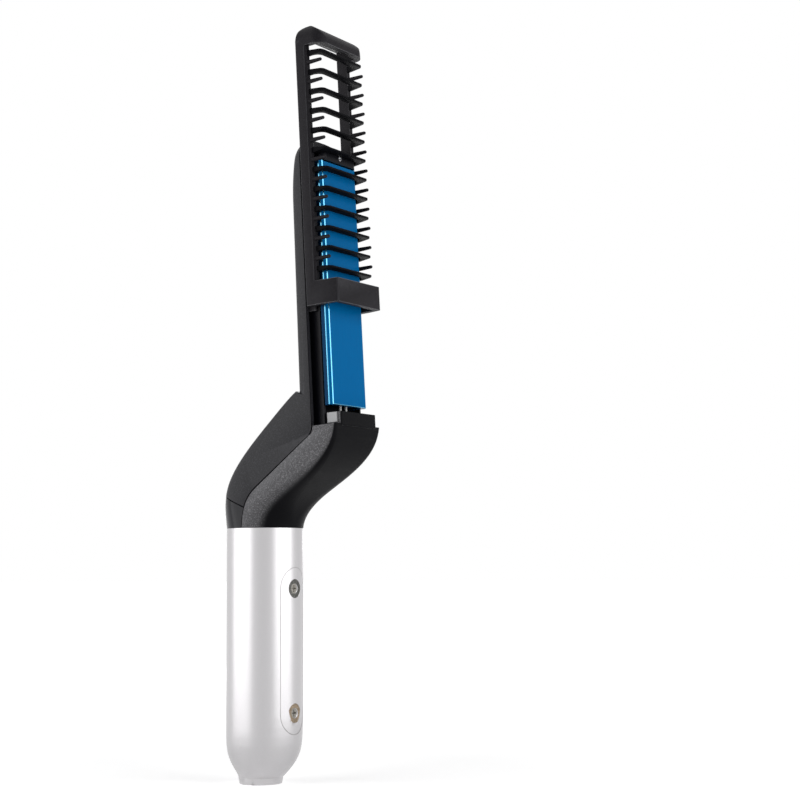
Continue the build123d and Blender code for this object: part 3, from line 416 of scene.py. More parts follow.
@dataclass(frozen=True)
class BrushedFinish(Surface):
    """Brushed or turned metal with lines along one direction."""

    streak: Colour
    stretch: Triple
    relief: float
    roughness: float
    drift: float = 0.12
    metallic: float = 1.0
    specular: float = 0.5

    def wire(self, tree: bpy.types.NodeTree, shader: bpy.types.Node) -> None:
        """Join the brushed lines to the shader.

        Args:
            tree: the material's tree.
            shader: its Principled BSDF.
        """
        lines = add_group(tree, "brushed_lines", build_brushed, {
            "Base": (*self.base, 1), "Streak": (*self.streak, 1), "Stretch": self.stretch,
            "Relief": self.relief, "Roughness": self.roughness, "Roughness Drift": self.drift}).outputs
        for name, value in (
            ("Base Color", lines["Colour"]), ("Roughness", lines["Rough"]), ("Normal", lines["Normal"]),
            ("Metallic", self.metallic), ("Specular IOR Level", self.specular),
        ):
            feed(tree, shader.inputs[name], value)


# Each finish: name, base, fleck; then fleck amount, grain size in mm, relief, roughness and roughness drift.
PEARL_PAINT = Finish("pearl_paint", (0.50, 0.49, 0.50), (0.62, 0.61, 0.62),
                     0.35, 0.22, 0.02, 0.34, 0.04, metallic=0.85)
PEARL_LINE = Finish("pearl_line", (0.36, 0.35, 0.35), (0.46, 0.45, 0.45),
                    0.35, 0.22, 0.02, 0.40, 0.04, metallic=0.5)
DISH_BEIGE = Finish("dish_beige", (0.34, 0.26, 0.18), (0.66, 0.57, 0.46),
                    0.7, 0.45, 0.20, 0.50, 0.10, specular=0.1)
DISH_GREY = Finish("dish_grey", (0.13, 0.13, 0.12), (0.46, 0.45, 0.43),
                   0.7, 0.45, 0.20, 0.50, 0.10, specular=0.1)
CHARCOAL = Finish("charcoal_texture", (0.009, 0.009, 0.011), (0.060, 0.058, 0.070),
                  0.5, 0.34, 0.30, 0.50, 0.10, specular=0.2, wear=0.35, worn=(0.10, 0.10, 0.11))
SEAM_SHADE = Finish("seam_shade", (0.002, 0.002, 0.003), (0.008, 0.008, 0.009),
                    0.3, 0.30, 0.08, 0.60, 0.08, specular=0.02)
# The neck's front takes painted shade here, darker than its lit side.
NECK_GRAIN_AND_SHADE = Finish("neck_grain_and_shade", (0.080, 0.079, 0.083), (0.38, 0.375, 0.39),
                    0.5, 0.40, 0.40, 0.42, 0.10, metallic=0.15, specular=0.03, wear=0.4,
                    worn=(0.22, 0.22, 0.23), shaded_facing=(0.94, 0.34, 0.0))
TOOTH_NYLON = Finish("tooth_nylon", (0.004, 0.004, 0.005), (0.014, 0.013, 0.016),
                     0.4, 0.26, 0.10, 0.50, 0.10, specular=0.02)
# Lighter colour of the comb frame's eased edges: a painted highlight.
COMB_EDGE_HIGHLIGHT = Finish("comb_edge_highlight", (0.055, 0.054, 0.060), (0.14, 0.138, 0.148),
                   0.5, 0.30, 0.10, 0.36, 0.08, specular=0.3)
COMB_NYLON = Finish("comb_nylon", (0.012, 0.011, 0.013), (0.060, 0.058, 0.066),
                    0.4, 0.26, 0.16, 0.50, 0.10, specular=0.06, wear=0.45, worn=(0.12, 0.12, 0.13))
CHASSIS_RESIN = Finish("chassis_resin", (0.004, 0.004, 0.006), (0.014, 0.014, 0.016),
                       0.3, 0.5, 0.08, 0.30, 0.06, specular=0.08)
LIGHT_CLIP = Finish("light_clip", (0.30, 0.30, 0.31), (0.46, 0.46, 0.47),
                    0.4, 0.4, 0.08, 0.32, 0.05, coat=0.2)
BAND_GLOSS = Finish("band_gloss", (0.008, 0.008, 0.011), (0.020, 0.020, 0.026),
                    0.2, 0.6, 0.02, 0.20, 0.04, specular=0.15)
RAY_GUIDE = Finish("ray_guide", (0.52, 0.74, 0.78), (0.75, 0.90, 0.92),
                   0.5, 0.9, 0.05, 0.22, 0.04, coat=0.4, glow=0.25)
SLIDER_BLACK = Finish("slider_black", (0.018, 0.018, 0.020), (0.05, 0.048, 0.05),
                      0.3, 0.3, 0.08, 0.30, 0.06, coat=0.2, wear=0.5, worn=(0.14, 0.13, 0.13))
BOARD_GREEN = Finish("board_green", (0.012, 0.09, 0.035), (0.03, 0.16, 0.07),
                     0.4, 1.2, 0.06, 0.35, 0.08, coat=0.3)
HEATER_CERAMIC = Finish("heater_ceramic", (0.74, 0.71, 0.64), (0.82, 0.80, 0.74),
                        0.4, 0.5, 0.15, 0.55, 0.1)
FIBRE_PAD = Finish("fibre_pad", (0.62, 0.60, 0.52), (0.80, 0.78, 0.70),
                   0.6, 0.25, 0.5, 0.9, 0.05)
COMPONENT_BLACK = Finish("component_black", (0.014, 0.014, 0.016), (0.03, 0.03, 0.032),
                         0.3, 0.4, 0.1, 0.42, 0.06)
CAPACITOR_SLEEVE = Finish("capacitor_sleeve", (0.02, 0.035, 0.12), (0.05, 0.07, 0.18),
                          0.3, 0.8, 0.04, 0.25, 0.05)
LAMP_RESIN = Finish("lamp_resin", (0.70, 0.82, 0.85), (0.85, 0.93, 0.95),
                    0.3, 0.8, 0.02, 0.12, 0.02, coat=0.5)
WIRE_SLEEVE = Finish("wire_sleeve", (0.62, 0.62, 0.60), (0.74, 0.74, 0.72),
                     0.3, 0.6, 0.06, 0.35, 0.06)
BUSH_BLACK = Finish("bush_black", (0.02, 0.02, 0.022), (0.05, 0.05, 0.052),
                    0.3, 0.4, 0.1, 0.40, 0.06, wear=0.3, worn=(0.15, 0.15, 0.15))

# Each brushed finish: name, base, streak; then lines per metre along x, y and z, relief and roughness.
SCREW_STEEL = BrushedFinish("screw_steel", (0.20, 0.19, 0.17), (0.36, 0.34, 0.30),
                            (900, 900, 900), 0.1, 0.40, metallic=0.6)
BRIGHT_PLATE = BrushedFinish("bright_plate", (0.72, 0.73, 0.75), (0.82, 0.83, 0.84),
                             (700, 700, 700), 0.04, 0.16)
CONTACT_BRONZE = BrushedFinish("contact_bronze", (0.58, 0.42, 0.18), (0.70, 0.55, 0.27),
                               (600, 600, 2500), 0.08, 0.25)
TURNED_BRASS = BrushedFinish("turned_brass", (0.62, 0.44, 0.15), (0.74, 0.57, 0.25),
                             (200, 200, 4000), 0.1, 0.22)
BLUE_ANODISED = BrushedFinish("blue_anodised", (0.0, 0.112, 0.31), (0.0, 0.136, 0.37),
                              (2600, 2600, 18), 0.06, 0.30, drift=0.10, metallic=0.0, specular=0.03)
# The bar's sides take a darker copy of the blue as painted shade; its eased edges take a bright copy as a
# painted highlight.
BLUE_PAINTED_SHADE = BrushedFinish("blue_painted_shade", (0.0, 0.018, 0.055), (0.0, 0.028, 0.075),
                          (2600, 2600, 18), 0.10, 0.45, drift=0.10, metallic=0.5, specular=0.1)
BLUE_EDGE_HIGHLIGHT = BrushedFinish("blue_edge_highlight", (0.10, 0.40, 0.60), (0.18, 0.50, 0.68),
                          (2600, 2600, 18), 0.04, 0.22)


# =====================================================================================
# Mesh helpers
# =====================================================================================
DRESSED_CRISP_DEGREES = 30.0
WELD_DISTANCE = 2e-6
CUT_DISTANCE = 1e-7
FLAT_DEGREES = 1.0
EASED_FACES = 1


def new_piece(name: str, mesh: bpy.types.Mesh, body: Body, slot: Slot, *finishes: Surface) -> bpy.types.Object:
    """Link a finished mesh as a piece at the origin and set it riding.

    Args:
        name: the piece's name.
        mesh: its mesh, already in place in metres.
        body: the body it rides on.
        slot: the material slot it belongs to; not used.
        finishes: its finishes, in the order of its faces' indices; a mesh that has materials keeps them.

    Returns:
        The new object.
    """
    piece = bpy.data.objects.new(name, mesh)
    bpy.context.scene.collection.objects.link(piece)
    if not mesh.materials:
        for finish in finishes:
            mesh.materials.append(finish.material())
    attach(piece, body.value)
    LOG.info("piece %s: %d faces on %s", name, len(mesh.polygons), body.value)
    return piece


def outward_faces(mesh: bpy.types.Mesh) -> None:
    """Turn every face of a closed mesh outwards.

    Args:
        mesh: the mesh.
    """
    work = bmesh.new()
    work.from_mesh(mesh)
    bmesh.ops.recalc_face_normals(work, faces=work.faces[:])
    work.to_mesh(mesh)
    work.free()


def smooth_by_angle(mesh: bpy.types.Mesh, degrees: float) -> None:
    """Shade a mesh smooth, with its sharp edges kept.

    Args:
        mesh: the mesh.
        degrees: edges that turn by more than this stay sharp.
    """
    for polygon in mesh.polygons:
        polygon.use_smooth = True
    mesh.set_sharp_from_angle(angle=math.radians(degrees))


def bezier(points: Table, t: float) -> tuple[float, float]:
    """Point of a cubic Bezier curve.

    Args:
        points: its four control points.
        t: how far along it, from 0 to 1.

    Returns:
        The point.
    """
    weights = ((1 - t) ** 3, 3 * (1 - t) ** 2 * t, 3 * (1 - t) * t * t, t ** 3)
    return (sum(w * p[0] for w, p in zip(weights, points)), sum(w * p[1] for w, p in zip(weights, points)))


def interpolate(table: Table, place: float) -> float:
    """Value of a table, on straight lines between its rows.

    Args:
        table: rows of a place and its value, from the lowest place up.
        place: where the value is wanted.

    Returns:
        The value; past the last row, the last one.
    """
    for (start, first), (end, last) in zip(table, table[1:]):
        if place <= end:
            return first + (last - first) * (place - start) / (end - start)
    return table[-1][1]


def clean_copy(node: bpy.types.Object, whole_faces: bool = True) -> bmesh.types.BMesh:
    """Copy a node's mesh for editing.

    Args:
        node: the node's object.
        whole_faces: True to join the triangles of each flat face.

    Returns:
        The mesh, with its corners joined.
    """
    work = bmesh.new()
    work.from_mesh(node.data)
    bmesh.ops.remove_doubles(work, verts=work.verts[:], dist=WELD_DISTANCE)
    if whole_faces:
        bmesh.ops.dissolve_limit(work, angle_limit=math.radians(FLAT_DEGREES), verts=work.verts[:],
                                 edges=work.edges[:])
    return work


def keep_lowest(work: bmesh.types.BMesh) -> None:
    """Remove every separate solid of a mesh but the lowest.

    Args:
        work: the mesh.
    """
    start = min(work.verts, key=lambda vert: vert.co.z)
    kept, reached = {start}, [start]
    while reached:
        for edge in reached.pop().link_edges:
            for vert in edge.verts:
                if vert not in kept:
                    kept.add(vert)
                    reached.append(vert)
    bmesh.ops.delete(work, geom=[vert for vert in work.verts if vert not in kept], context="VERTS")


def plain_mesh(work: bmesh.types.BMesh, name: str, degrees: float) -> bpy.types.Mesh:
    """Turn an edited mesh into a smoothly shaded one.

    Args:
        work: the mesh, which is used up.
        name: name of the result.
        degrees: edges sharper than this stay crisp.

    Returns:
        The new mesh.
    """
    mesh = bpy.data.meshes.new(name)
    work.to_mesh(mesh)
    work.free()
    smooth_by_angle(mesh, degrees)
    return mesh


def eased(work: bmesh.types.BMesh, name: str, width: float, shortest: float = 0.0,
          degrees: float = 32.0, smooth: float = 35.0) -> bpy.types.Mesh:
    """Ease the outer edges of a mesh, as a mould or a file leaves them.

    Args:
        work: the mesh, which is used up.
        name: name of the result.
        width: width of the eased edge, in millimetres.
        shortest: edges shorter than this stay as they are, in millimetres.
        degrees: edges sharper than this are eased.
        smooth: edges sharper than this stay crisp in the shading.

    Returns:
        The new mesh; its eased faces take the second finish.
    """
    limit = math.radians(degrees)
    crisp = [edge for edge in work.edges if edge.is_manifold and edge.is_convex
             and edge.calc_face_angle(0.0) > limit and edge.calc_length() > shortest * MM]
    bmesh.ops.bevel(work, geom=crisp, offset=width * MM, offset_type="OFFSET", segments=2, profile=0.5,
                    affect="EDGES", clamp_overlap=False, material=EASED_FACES)
    bmesh.ops.recalc_face_normals(work, faces=work.faces[:])
    return plain_mesh(work, name, smooth)


def dress(nodes: dict[str, bpy.types.Object], finishes: dict[str, Surface]) -> None:
    """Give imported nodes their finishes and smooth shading, without touching their shape.

    Args:
        nodes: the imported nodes.
        finishes: the finish of each node that is dressed, by its name.
    """
    for name, finish in finishes.items():
        mesh = nodes[name].data
        mesh.materials.clear()
        mesh.materials.append(finish.material())
        smooth_by_angle(mesh, DRESSED_CRISP_DEGREES)
        LOG.info("node %s: %s", name, finish.name)


# =====================================================================================
# Geometry Nodes
# =====================================================================================
@dataclass(frozen=True)
class RowTree:
    """A Geometry Nodes tree that stands copies of one shape along a line and joins them."""

    name: str = "row_of_copies"

    def tree(self) -> bpy.types.GeometryNodeTree:
        """Build the tree, or find it if it is already there.

        Returns:
            The tree.
        """
        found = bpy.data.node_groups.get(self.name)
        if found is not None:
            return found
        tree = bpy.data.node_groups.new(self.name, "GeometryNodeTree")
        inputs, outputs = group_ends(tree, (
            ("Shape", "Object"), ("Count", "Int", 2), ("Start", "Vector", (0.0, 0.0, 0.0)),
            ("Pitch", "Vector", (0.0, 0.0, MM)), ("Finish", "Material"),
        ), (("Geometry", "Geometry"),))
        line = add_node(tree, "GeometryNodeMeshLine", mode="OFFSET", inputs={
            "Count": inputs["Count"], "Start Location": inputs["Start"], "Offset": inputs["Pitch"]})
        shape = add_node(tree, "GeometryNodeObjectInfo", {"Object": inputs["Shape"]},
                         transform_space="ORIGINAL")
        copies = add_node(tree, "GeometryNodeInstanceOnPoints", {
            "Points": line.outputs["Mesh"], "Instance": shape.outputs["Geometry"]})
        real = add_node(tree, "GeometryNodeRealizeInstances", {"Geometry": copies.outputs["Instances"]})
        paint = add_node(tree, "GeometryNodeSetMaterial", {
            "Geometry": real.outputs["Geometry"], "Material": inputs["Finish"]})
        link(tree, paint.outputs["Geometry"], outputs["Geometry"])
        return tree

    def mesh(self, shape: bpy.types.Mesh, count: int, pitch: Vector, finish: Surface) -> bpy.types.Mesh:
        """Run the tree and return its result as a plain mesh.

        Args:
            shape: the mesh that is repeated; the first copy stands where it is.
            count: number of copies.
            pitch: step from one copy to the next, in metres.
            finish: the finish set on the copies.

        Returns:
            One mesh with all the copies.
        """
        scene = bpy.context.scene
        source = bpy.data.objects.new("row_shape", shape)
        holder = bpy.data.objects.new("row_holder", bpy.data.meshes.new("row_holder"))
        scene.collection.objects.link(source)
        scene.collection.objects.link(holder)
        modifier = holder.modifiers.new("row", "NODES")
        modifier.node_group = self.tree()
        values = {"Shape": source, "Count": count, "Start": (0.0, 0.0, 0.0), "Pitch": tuple(pitch),
                  "Finish": finish.material()}
        for item in modifier.node_group.interface.items_tree:
            if item.item_type == "SOCKET" and item.in_out == "INPUT":
                modifier[item.identifier] = values[item.name]
        graph = bpy.context.evaluated_depsgraph_get()
        result = bpy.data.meshes.new_from_object(holder.evaluated_get(graph), depsgraph=graph)
        bpy.data.objects.remove(holder)
        bpy.data.objects.remove(source)
        return result


ROW = RowTree()


# =====================================================================================
# Sub-assemblies
# =====================================================================================
@dataclass
class Handle:
    """Round handle: two painted shells, their screws, the slide switch and the cord swivel.

    solid_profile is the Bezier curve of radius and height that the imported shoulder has, and shoulder the
    heights and radii of the drawn one. What lies between the skin or dish limits goes along with it.
    """

    nodes: dict[str, bpy.types.Object]
    shoulder_top: float = 32.0
    shoulder_margin: float = 0.01
    neck_top: float = 2.6
    neck_lean: float = -2.0
    solid_profile: Table = ((8.2, 2.6), (13.608, 4.0), (15.228, 15.04), (16.2, 32.0))
    shoulder: Table = (
        (0.0, 9.0), (2.6, 9.4), (4.0, 10.3), (5.5, 11.4), (7.3, 12.65), (9.0, 13.65), (10.8, 14.5),
        (13.0, 15.25), (16.0, 15.8), (20.0, 16.04), (24.0, 16.12), (28.0, 16.17), (32.0, 16.2))
    halvings: int = 24
    skin_outside: float = 0.3
    skin_inside: float = 0.3
    dish_inside: float = 1.2
    dish_bottom: float = 22.0
    rounded_from: float = 23.5
    rounded_within: float = 0.02
    rounded_facing: float = 0.9
    screw_heights: tuple[float, float] = (29.6, 81.0)
    dish_reach: float = 3.95
    dish_depths: tuple[float, float] = (0.03, 1.0)
    dish_facing: float = 0.8
    line_side: float = 7.9
    line_end: float = 8.8
    line_steps: int = 120
    line_half_width: float = 0.16
    line_proud: float = 0.05
    line_root: float = -0.12
    line_crisp_degrees: float = 50.0

    def build(self) -> None:
        """Dress the handle's nodes, with the shoulder of its shells turned to a softer line."""
        for name in ("handle_front_shell", "handle_back_shell"):
            work = clean_copy(self.nodes[name], whole_faces=False)
            self.turn_shoulder(work)
            mesh = plain_mesh(work, f"{name}_turned", DRESSED_CRISP_DEGREES)
            self.round_normals(mesh)
            finishes = [PEARL_PAINT]
            if name == "handle_front_shell":
                self.paint_dishes(mesh)
                finishes += [DISH_BEIGE, DISH_GREY]
            piece = new_piece(f"{name}_turned", mesh, Body.HOUSING, Slot.PEARL, *finishes)
            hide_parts(name)
        self.make_panel_line()
        dress(self.nodes, {
            "handle_screws": SCREW_STEEL, "swivel_bush": BUSH_BLACK, "switch_slider": SLIDER_BLACK,
            "switch_case": COMPONENT_BLACK, "switch_terminals": CONTACT_BRONZE, "contact_rings": TURNED_BRASS,
            "contact_carrier": COMPONENT_BLACK, "contact_brushes": CONTACT_BRONZE})

    def outside(self, height: float) -> float:
        """Radius of the dressed handle at a height, both in millimetres."""
        return interpolate(self.shoulder, min(height, self.shoulder_top))

    def round_normals(self, mesh: bpy.types.Mesh) -> None:
        """Point the shading normals of the round bar straight out from its axis.

        Args:
            mesh: a shell, already turned.
        """
        normals = [corner.vector.copy() for corner in mesh.corner_normals]
        for polygon in mesh.polygons:
            for index in polygon.loop_indices:
                place = mesh.vertices[mesh.loops[index].vertex_index].co / MM
                across = Vector((place.x - HANDLE_AXIS_X, place.y, 0))
                if (place.z > self.rounded_from
                        and abs(across.length - self.outside(place.z)) < self.rounded_within
                        and polygon.normal.dot(across.normalized()) > self.rounded_facing):
                    normals[index] = across.normalized()
        mesh.normals_split_custom_set(normals)

    def paint_dishes(self, mesh: bpy.types.Mesh) -> None:
        """Give the floors of the two screw dishes their own finishes, the lower one first.

        Args:
            mesh: the front shell, already turned.
        """
        shallowest, deepest = self.dish_depths
        for polygon in mesh.polygons:
            centre = polygon.center / MM
            inset = self.outside(centre.z) - math.hypot(centre.x - HANDLE_AXIS_X, centre.y)
            if (centre.x <= HANDLE_AXIS_X or polygon.normal.x <= self.dish_facing
                    or not shallowest < inset < deepest):
                continue
            for index, height in enumerate(self.screw_heights, start=1):
                if math.hypot(centre.y, centre.z - height) < self.dish_reach:
                    polygon.material_index = index

    def make_panel_line(self) -> None:
        """Fine raised line that rings the two screws on the front."""
        width, proud, root = self.line_half_width, self.line_proud, self.line_root
        section = ((-width, root), (-width, 0.0), (-0.5 * width, proud), (0.5 * width, proud), (width, 0.0),
                   (width, root))
        count, verts, faces = len(section), [], []
        for step in range(self.line_steps):
            turn = 2 * math.pi * step / self.line_steps
            across, up = math.cos(turn), math.sin(turn)
            middle = self.screw_heights[1] if up > 0 else self.screw_heights[0]
            spot = Vector((across * self.line_side, middle + up * self.line_end))
            outward = Vector((across * self.line_end, up * self.line_side)).normalized()
            for offset, lift in section:
                arc, height = spot + outward * offset
                radius, angle = self.outside(height) + lift, arc / HANDLE_RADIUS
                place = (HANDLE_AXIS_X + radius * math.cos(angle), radius * math.sin(angle), height)
                verts.append(Vector(place) * MM)
            ring, after = step * count, (step + 1) % self.line_steps * count
            for point in range(count):
                beside = (point + 1) % count
                faces.append((ring + point, after + point, after + beside, ring + beside))
        mesh = bpy.data.meshes.new("panel_line")
        mesh.from_pydata(verts, [], faces)
        outward_faces(mesh)
        smooth_by_angle(mesh, self.line_crisp_degrees)
        new_piece("panel_line", mesh, Body.HOUSING, Slot.PEARL, PEARL_LINE)

    def solid_ring(self, height: float) -> tuple[float, float]:
        """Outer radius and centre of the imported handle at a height, in millimetres.

        Args:
            height: height above the handle's end.

        Returns:
            The radius, and the centre's place along x.
        """
        if height <= self.neck_top:
            return self.solid_profile[0][0], HANDLE_AXIS_X + self.neck_lean
        low, high = 0.0, 1.0
        for _ in range(self.halvings):
            t = (low + high) / 2
            low, high = (t, high) if bezier(self.solid_profile, t)[1] < height else (low, t)
        return bezier(self.solid_profile, t)[0], HANDLE_AXIS_X + self.neck_lean * (1 - t) ** 2

    def turn_shoulder(self, work: bmesh.types.BMesh) -> None:
        """Move the outside of a shell's shoulder to the softer line, leaving its inside as it is.

        Args:
            work: the shell.
        """
        for height, _ in self.shoulder[1:]:
            bmesh.ops.bisect_plane(work, geom=work.verts[:] + work.edges[:] + work.faces[:],
                                   dist=CUT_DISTANCE, plane_co=(0, 0, height * MM), plane_no=(0, 0, 1))
        for vert in work.verts:
            height = vert.co.z / MM
            if height > self.shoulder_top + self.shoulder_margin:
                continue
            radius, centre = self.solid_ring(height)
            across = Vector((vert.co.x / MM - centre, vert.co.y / MM))
            inset = radius - across.length
            inside = self.dish_inside if height > self.dish_bottom else self.skin_inside
            if -self.skin_outside < inset < inside:
                moved = across.normalized() * (interpolate(self.shoulder, height) - inset)
                vert.co.x, vert.co.y = (centre + moved.x) * MM, moved.y * MM


@dataclass
class ControlBoard:
    """Board in the handle with its parts and leads."""

    nodes: dict[str, bpy.types.Object]

    def build(self) -> None:
        """Dress the board's nodes."""
        dress(self.nodes, {
            "control_board": BOARD_GREEN, "board_screws": SCREW_STEEL, "smoothing_capacitor": CAPACITOR_SLEEVE,
            "power_triac": COMPONENT_BLACK, "dropper_resistor": HEATER_CERAMIC, "heater_leads": WIRE_SLEEVE,
            "supply_leads": WIRE_SLEEVE})


@dataclass(frozen=True)
class ShellEdges:
    """How the edges of the neck and of the back cover are eased; the dark eased faces draw their seams."""

    width: float = 0.18
    shortest: float = 0.5
    degrees: float = 40.0
    smooth: float = 25.0

    def mesh(self, node: bpy.types.Object, name: str) -> bpy.types.Mesh:
        """Eased copy of a shell."""
        return eased(clean_copy(node), name, self.width, self.shortest, self.degrees, self.smooth)


SHELL_EDGES = ShellEdges()


@dataclass
class Neck:
    """Cranked neck: front shell, glossy band with its indicator, and the latch pads."""

    nodes: dict[str, bpy.types.Object]

    def build(self) -> None:
        """Dress the neck's nodes."""
        shell = SHELL_EDGES.mesh(self.nodes["neck_front_shell"], "neck_shell")
        piece = new_piece("neck_shell", shell, Body.HOUSING, Slot.NECK, NECK_GRAIN_AND_SHADE, SEAM_SHADE)
        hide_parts("neck_front_shell")
        dress(self.nodes, {
            "latch_pads": LIGHT_CLIP, "indicator_band": BAND_GLOSS, "indicator_rays": RAY_GUIDE,
            "led_board": BOARD_GREEN, "indicator_lamp": LAMP_RESIN})


@dataclass
class Head:
    """Head: back cover, chassis with its lips, heated bar and end cap."""

    nodes: dict[str, bpy.types.Object]
    bar_edge: float = 0.25
    bar_shortest: float = 3.0
    bar_degrees: float = 20.0
    bar_smooth: float = 5.0
    side_facing: float = 0.9
    painted_shade_faces: int = 2

    def build(self) -> None:
        """Dress the head's nodes."""
        cover = SHELL_EDGES.mesh(self.nodes["head_back_cover"], "back_cover")
        piece = new_piece("back_cover", cover, Body.HOUSING, Slot.CHARCOAL, CHARCOAL, SEAM_SHADE)
        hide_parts("head_back_cover")
        self.make_bar()
        dress(self.nodes, {
            "head_chassis": CHASSIS_RESIN, "chassis_screws": SCREW_STEEL, "heater_element": HEATER_CERAMIC,
            "heater_insulation": FIBRE_PAD, "thermal_cutout": BRIGHT_PLATE, "plate_end_cap": CHASSIS_RESIN,
            "cap_screw": BRIGHT_PLATE})

    def make_bar(self) -> None:
        """Heated bar with a painted highlight on its eased edges and painted shade on its sides."""
        # The eased edges take the painted highlight; the faces that look sideways take the painted shade.
        mesh = eased(clean_copy(self.nodes["heat_plate"]), "heated_bar", self.bar_edge, self.bar_shortest,
                     self.bar_degrees, self.bar_smooth)
        for face in mesh.polygons:
            if abs(face.normal.y) > self.side_facing and face.material_index == 0:
                face.material_index = self.painted_shade_faces
        bar = new_piece("heated_bar", mesh, Body.HOUSING, Slot.BLUE, BLUE_ANODISED, BLUE_EDGE_HIGHLIGHT, BLUE_PAINTED_SHADE)
        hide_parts("heat_plate")


@dataclass
class Comb:
    """Slide-on comb: moulded frame and the broad teeth that bridge it."""

    nodes: dict[str, bpy.types.Object]
    frame_edge: float = 0.2
    frame_shortest: float = 3.0
    frame_smooth: float = 20.0
    tooth_edge: float = 0.12
    bridge_pitch: float = 8.4
    bridge_count: int = 12

    def build(self) -> None:
        """Dress the comb's frame and bridges."""
        # The frame's eased edges take a lighter colour, a painted highlight.
        frame = eased(clean_copy(self.nodes["comb_frame"]), "comb_moulding", self.frame_edge,
                      self.frame_shortest, smooth=self.frame_smooth)
        piece = new_piece("comb_moulding", frame, Body.COMB, Slot.COMB, COMB_NYLON, COMB_EDGE_HIGHLIGHT)
        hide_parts("comb_frame")
        work = clean_copy(self.nodes["comb_bridges"])
        keep_lowest(work)
        tilt = math.radians(HEAD_TILT_DEGREES)
        step = Vector((-math.sin(tilt), 0, math.cos(tilt))) * self.bridge_pitch * MM
        teeth = ROW.mesh(eased(work, "broad_tooth", self.tooth_edge), self.bridge_count, step, TOOTH_NYLON)
        piece = new_piece("broad_teeth", teeth, Body.COMB, Slot.COMB, TOOTH_NYLON)
        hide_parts("comb_bridges")


# =====================================================================================
# Studio
# =====================================================================================
@dataclass(frozen=True)
class Lamp:
    """Soft rectangular lamp: its name, place and size in metres, and its power in watts."""

    name: str
    place: Triple
    width: float
    height: float
    power: float


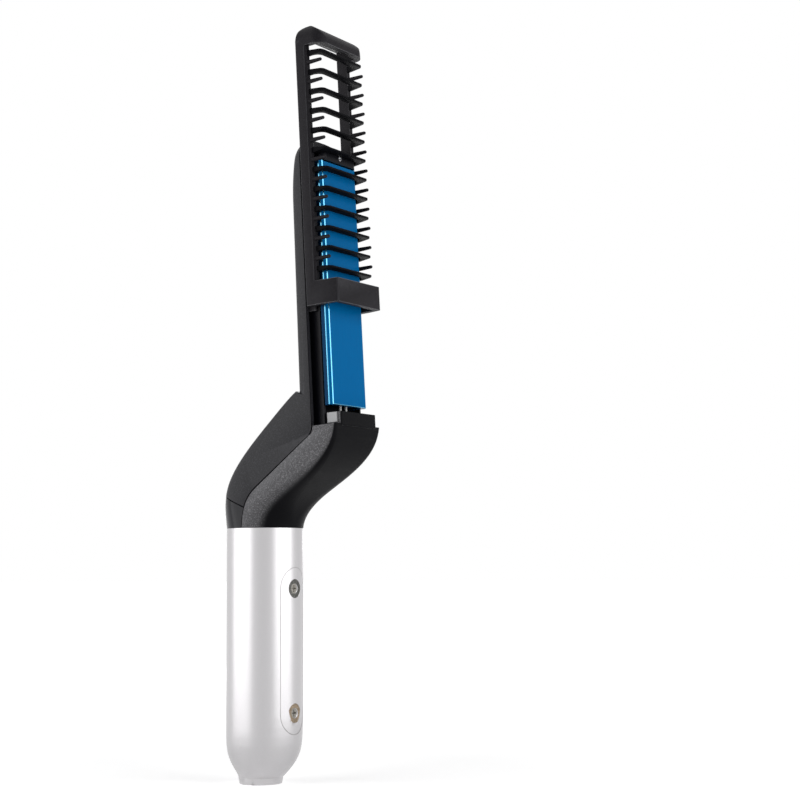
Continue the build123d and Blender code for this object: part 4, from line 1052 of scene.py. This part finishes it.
@dataclass
class Studio:
    """Plain pale studio: floor, world light, soft lamps and the camera."""

    camera_place: Triple = (0.4387, -0.5489, 0.08775)
    azimuth: float = 37.27
    pitch: float = 5.82
    pan: float = 3.466
    tip: float = 0.175
    lens: float = 73.7
    sensor: float = 36.0
    seen_depth: tuple[float, float] = (0.01, 50.0)
    floor_reach: float = 12.0
    floor_white: float = 0.9
    floor_roughness: float = 0.9
    glow_place: tuple[float, float] = (0.12, 0.80)
    glow_strength: tuple[float, float] = (0.45, 1.0)
    world_light: float = 0.15
    world_colour: Colour = (0.98, 0.985, 1.0)
    lamp_aim: tuple[float, float] = (HANDLE_AXIS_X * MM, 0.0)
    lamps: tuple[Lamp, ...] = (
        Lamp("left_box", (-0.237, -0.346, 0.310), 0.51, 0.62, 2.0),
        Lamp("right_box", (0.420, 0.040, 0.310), 0.44, 0.62, 1.7),
        Lamp("back_box", (-0.450, 0.750, 0.400), 0.60, 0.60, 2.5))

    def build(self) -> None:
        """Make the floor, the world, the lamps and the camera."""
        self.make_floor()
        self.make_world()
        for lamp in self.lamps:
            self.make_lamp(lamp)
        self.make_camera()

    def seen_rays(self, tree: bpy.types.NodeTree) -> bpy.types.NodeSocket:
        """Mask of the rays that see a surface directly, in a mirror or through glass.

        Args:
            tree: the material's or the world's tree.

        Returns:
            The mask's output.
        """
        path = add_node(tree, "ShaderNodeLightPath").outputs
        mirrored = maths(tree, "ADD", path["Is Camera Ray"], path["Is Glossy Ray"], clamp=True)
        return maths(tree, "ADD", mirrored, path["Is Transmission Ray"], clamp=True)

    def make_floor(self) -> None:
        """Large pale floor: it keeps the shadow near the object and is plain white far away."""
        mesh, size = bpy.data.meshes.new("studio_floor"), self.floor_reach
        mesh.from_pydata([(-size, -size, 0), (size, -size, 0), (size, size, 0), (-size, size, 0)], [],
                         [(0, 1, 2, 3)])
        floor = bpy.data.objects.new("studio_floor", mesh)
        bpy.context.scene.collection.objects.link(floor)
        material = bpy.data.materials.new("studio_floor")
        material.use_nodes = True
        tree = material.node_tree
        away = add_node(tree, "ShaderNodeVectorMath", {0: object_place(tree)}, operation="LENGTH")
        rise = ranged(tree, away.outputs["Value"], *self.glow_place, *self.glow_strength)
        shader = tree.nodes["Principled BSDF"]
        for name, value in (
            ("Base Color", (self.floor_white,) * 3 + (1,)), ("Roughness", self.floor_roughness),
            ("Specular IOR Level", 0.0), ("Emission Color", (1, 1, 1, 1)),
            ("Emission Strength", maths(tree, "MULTIPLY", rise, self.seen_rays(tree))),
        ):
            feed(tree, shader.inputs[name], value)
        mesh.materials.append(material)

    def make_world(self) -> None:
        """Even pale world: plain light on the object, white where it is seen."""
        world = bpy.data.worlds.new("studio_world")
        bpy.context.scene.world = world
        world.use_nodes = True
        tree = world.node_tree
        tree.nodes.clear()
        light = add_node(tree, "ShaderNodeBackground", {
            "Color": (*self.world_colour, 1), "Strength": self.world_light})
        seen = add_node(tree, "ShaderNodeBackground", {"Color": (1, 1, 1, 1)})
        mix = add_node(tree, "ShaderNodeMixShader", {
            "Fac": self.seen_rays(tree), 1: light.outputs["Background"], 2: seen.outputs["Background"]})
        add_node(tree, "ShaderNodeOutputWorld", {"Surface": mix.outputs["Shader"]})

    def make_lamp(self, lamp: Lamp) -> None:
        """Stand a lamp, aimed level at the handle's axis.

        Args:
            lamp: its name, place, size and power.
        """
        data = bpy.data.lights.new(f"studio_{lamp.name}", "AREA")
        data.shape, data.size, data.size_y, data.energy = "RECTANGLE", lamp.width, lamp.height, lamp.power
        light = bpy.data.objects.new(f"studio_{lamp.name}", data)
        bpy.context.scene.collection.objects.link(light)
        light.location = lamp.place
        light.visible_camera = False
        aim = Vector((*self.lamp_aim, lamp.place[2])) - Vector(lamp.place)
        light.rotation_euler = aim.to_track_quat("-Z", "Y").to_euler()

    def make_camera(self) -> None:
        """Camera at the height and angle the object is looked at from."""
        data = bpy.data.cameras.new("studio_camera")
        data.lens, data.sensor_width = self.lens, self.sensor
        data.clip_start, data.clip_end = self.seen_depth
        camera = bpy.data.objects.new("studio_camera", data)
        bpy.context.scene.collection.objects.link(camera)
        camera.location = self.camera_place
        facing = Euler((math.radians(90 + self.pitch), 0, math.radians(self.azimuth))).to_matrix()
        aside = Matrix.Rotation(math.radians(-self.pan), 3, "Y")
        tipped = Matrix.Rotation(math.radians(self.tip), 3, "X")
        camera.rotation_euler = (facing @ (aside @ tipped)).to_euler()
        bpy.context.scene.camera = camera
        bpy.context.scene.view_settings.view_transform = "Standard"


def main() -> None:
    """Build the sub-assemblies in order and report each piece."""
    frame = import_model()
    nodes = frame["nodes"]
    Studio().build()
    for part in (Handle(nodes), ControlBoard(nodes), Neck(nodes), Head(nodes), Comb(nodes)):
        part.build()
        LOG.info("built %s", type(part).__name__)


if __name__ == "__main__":
    main()
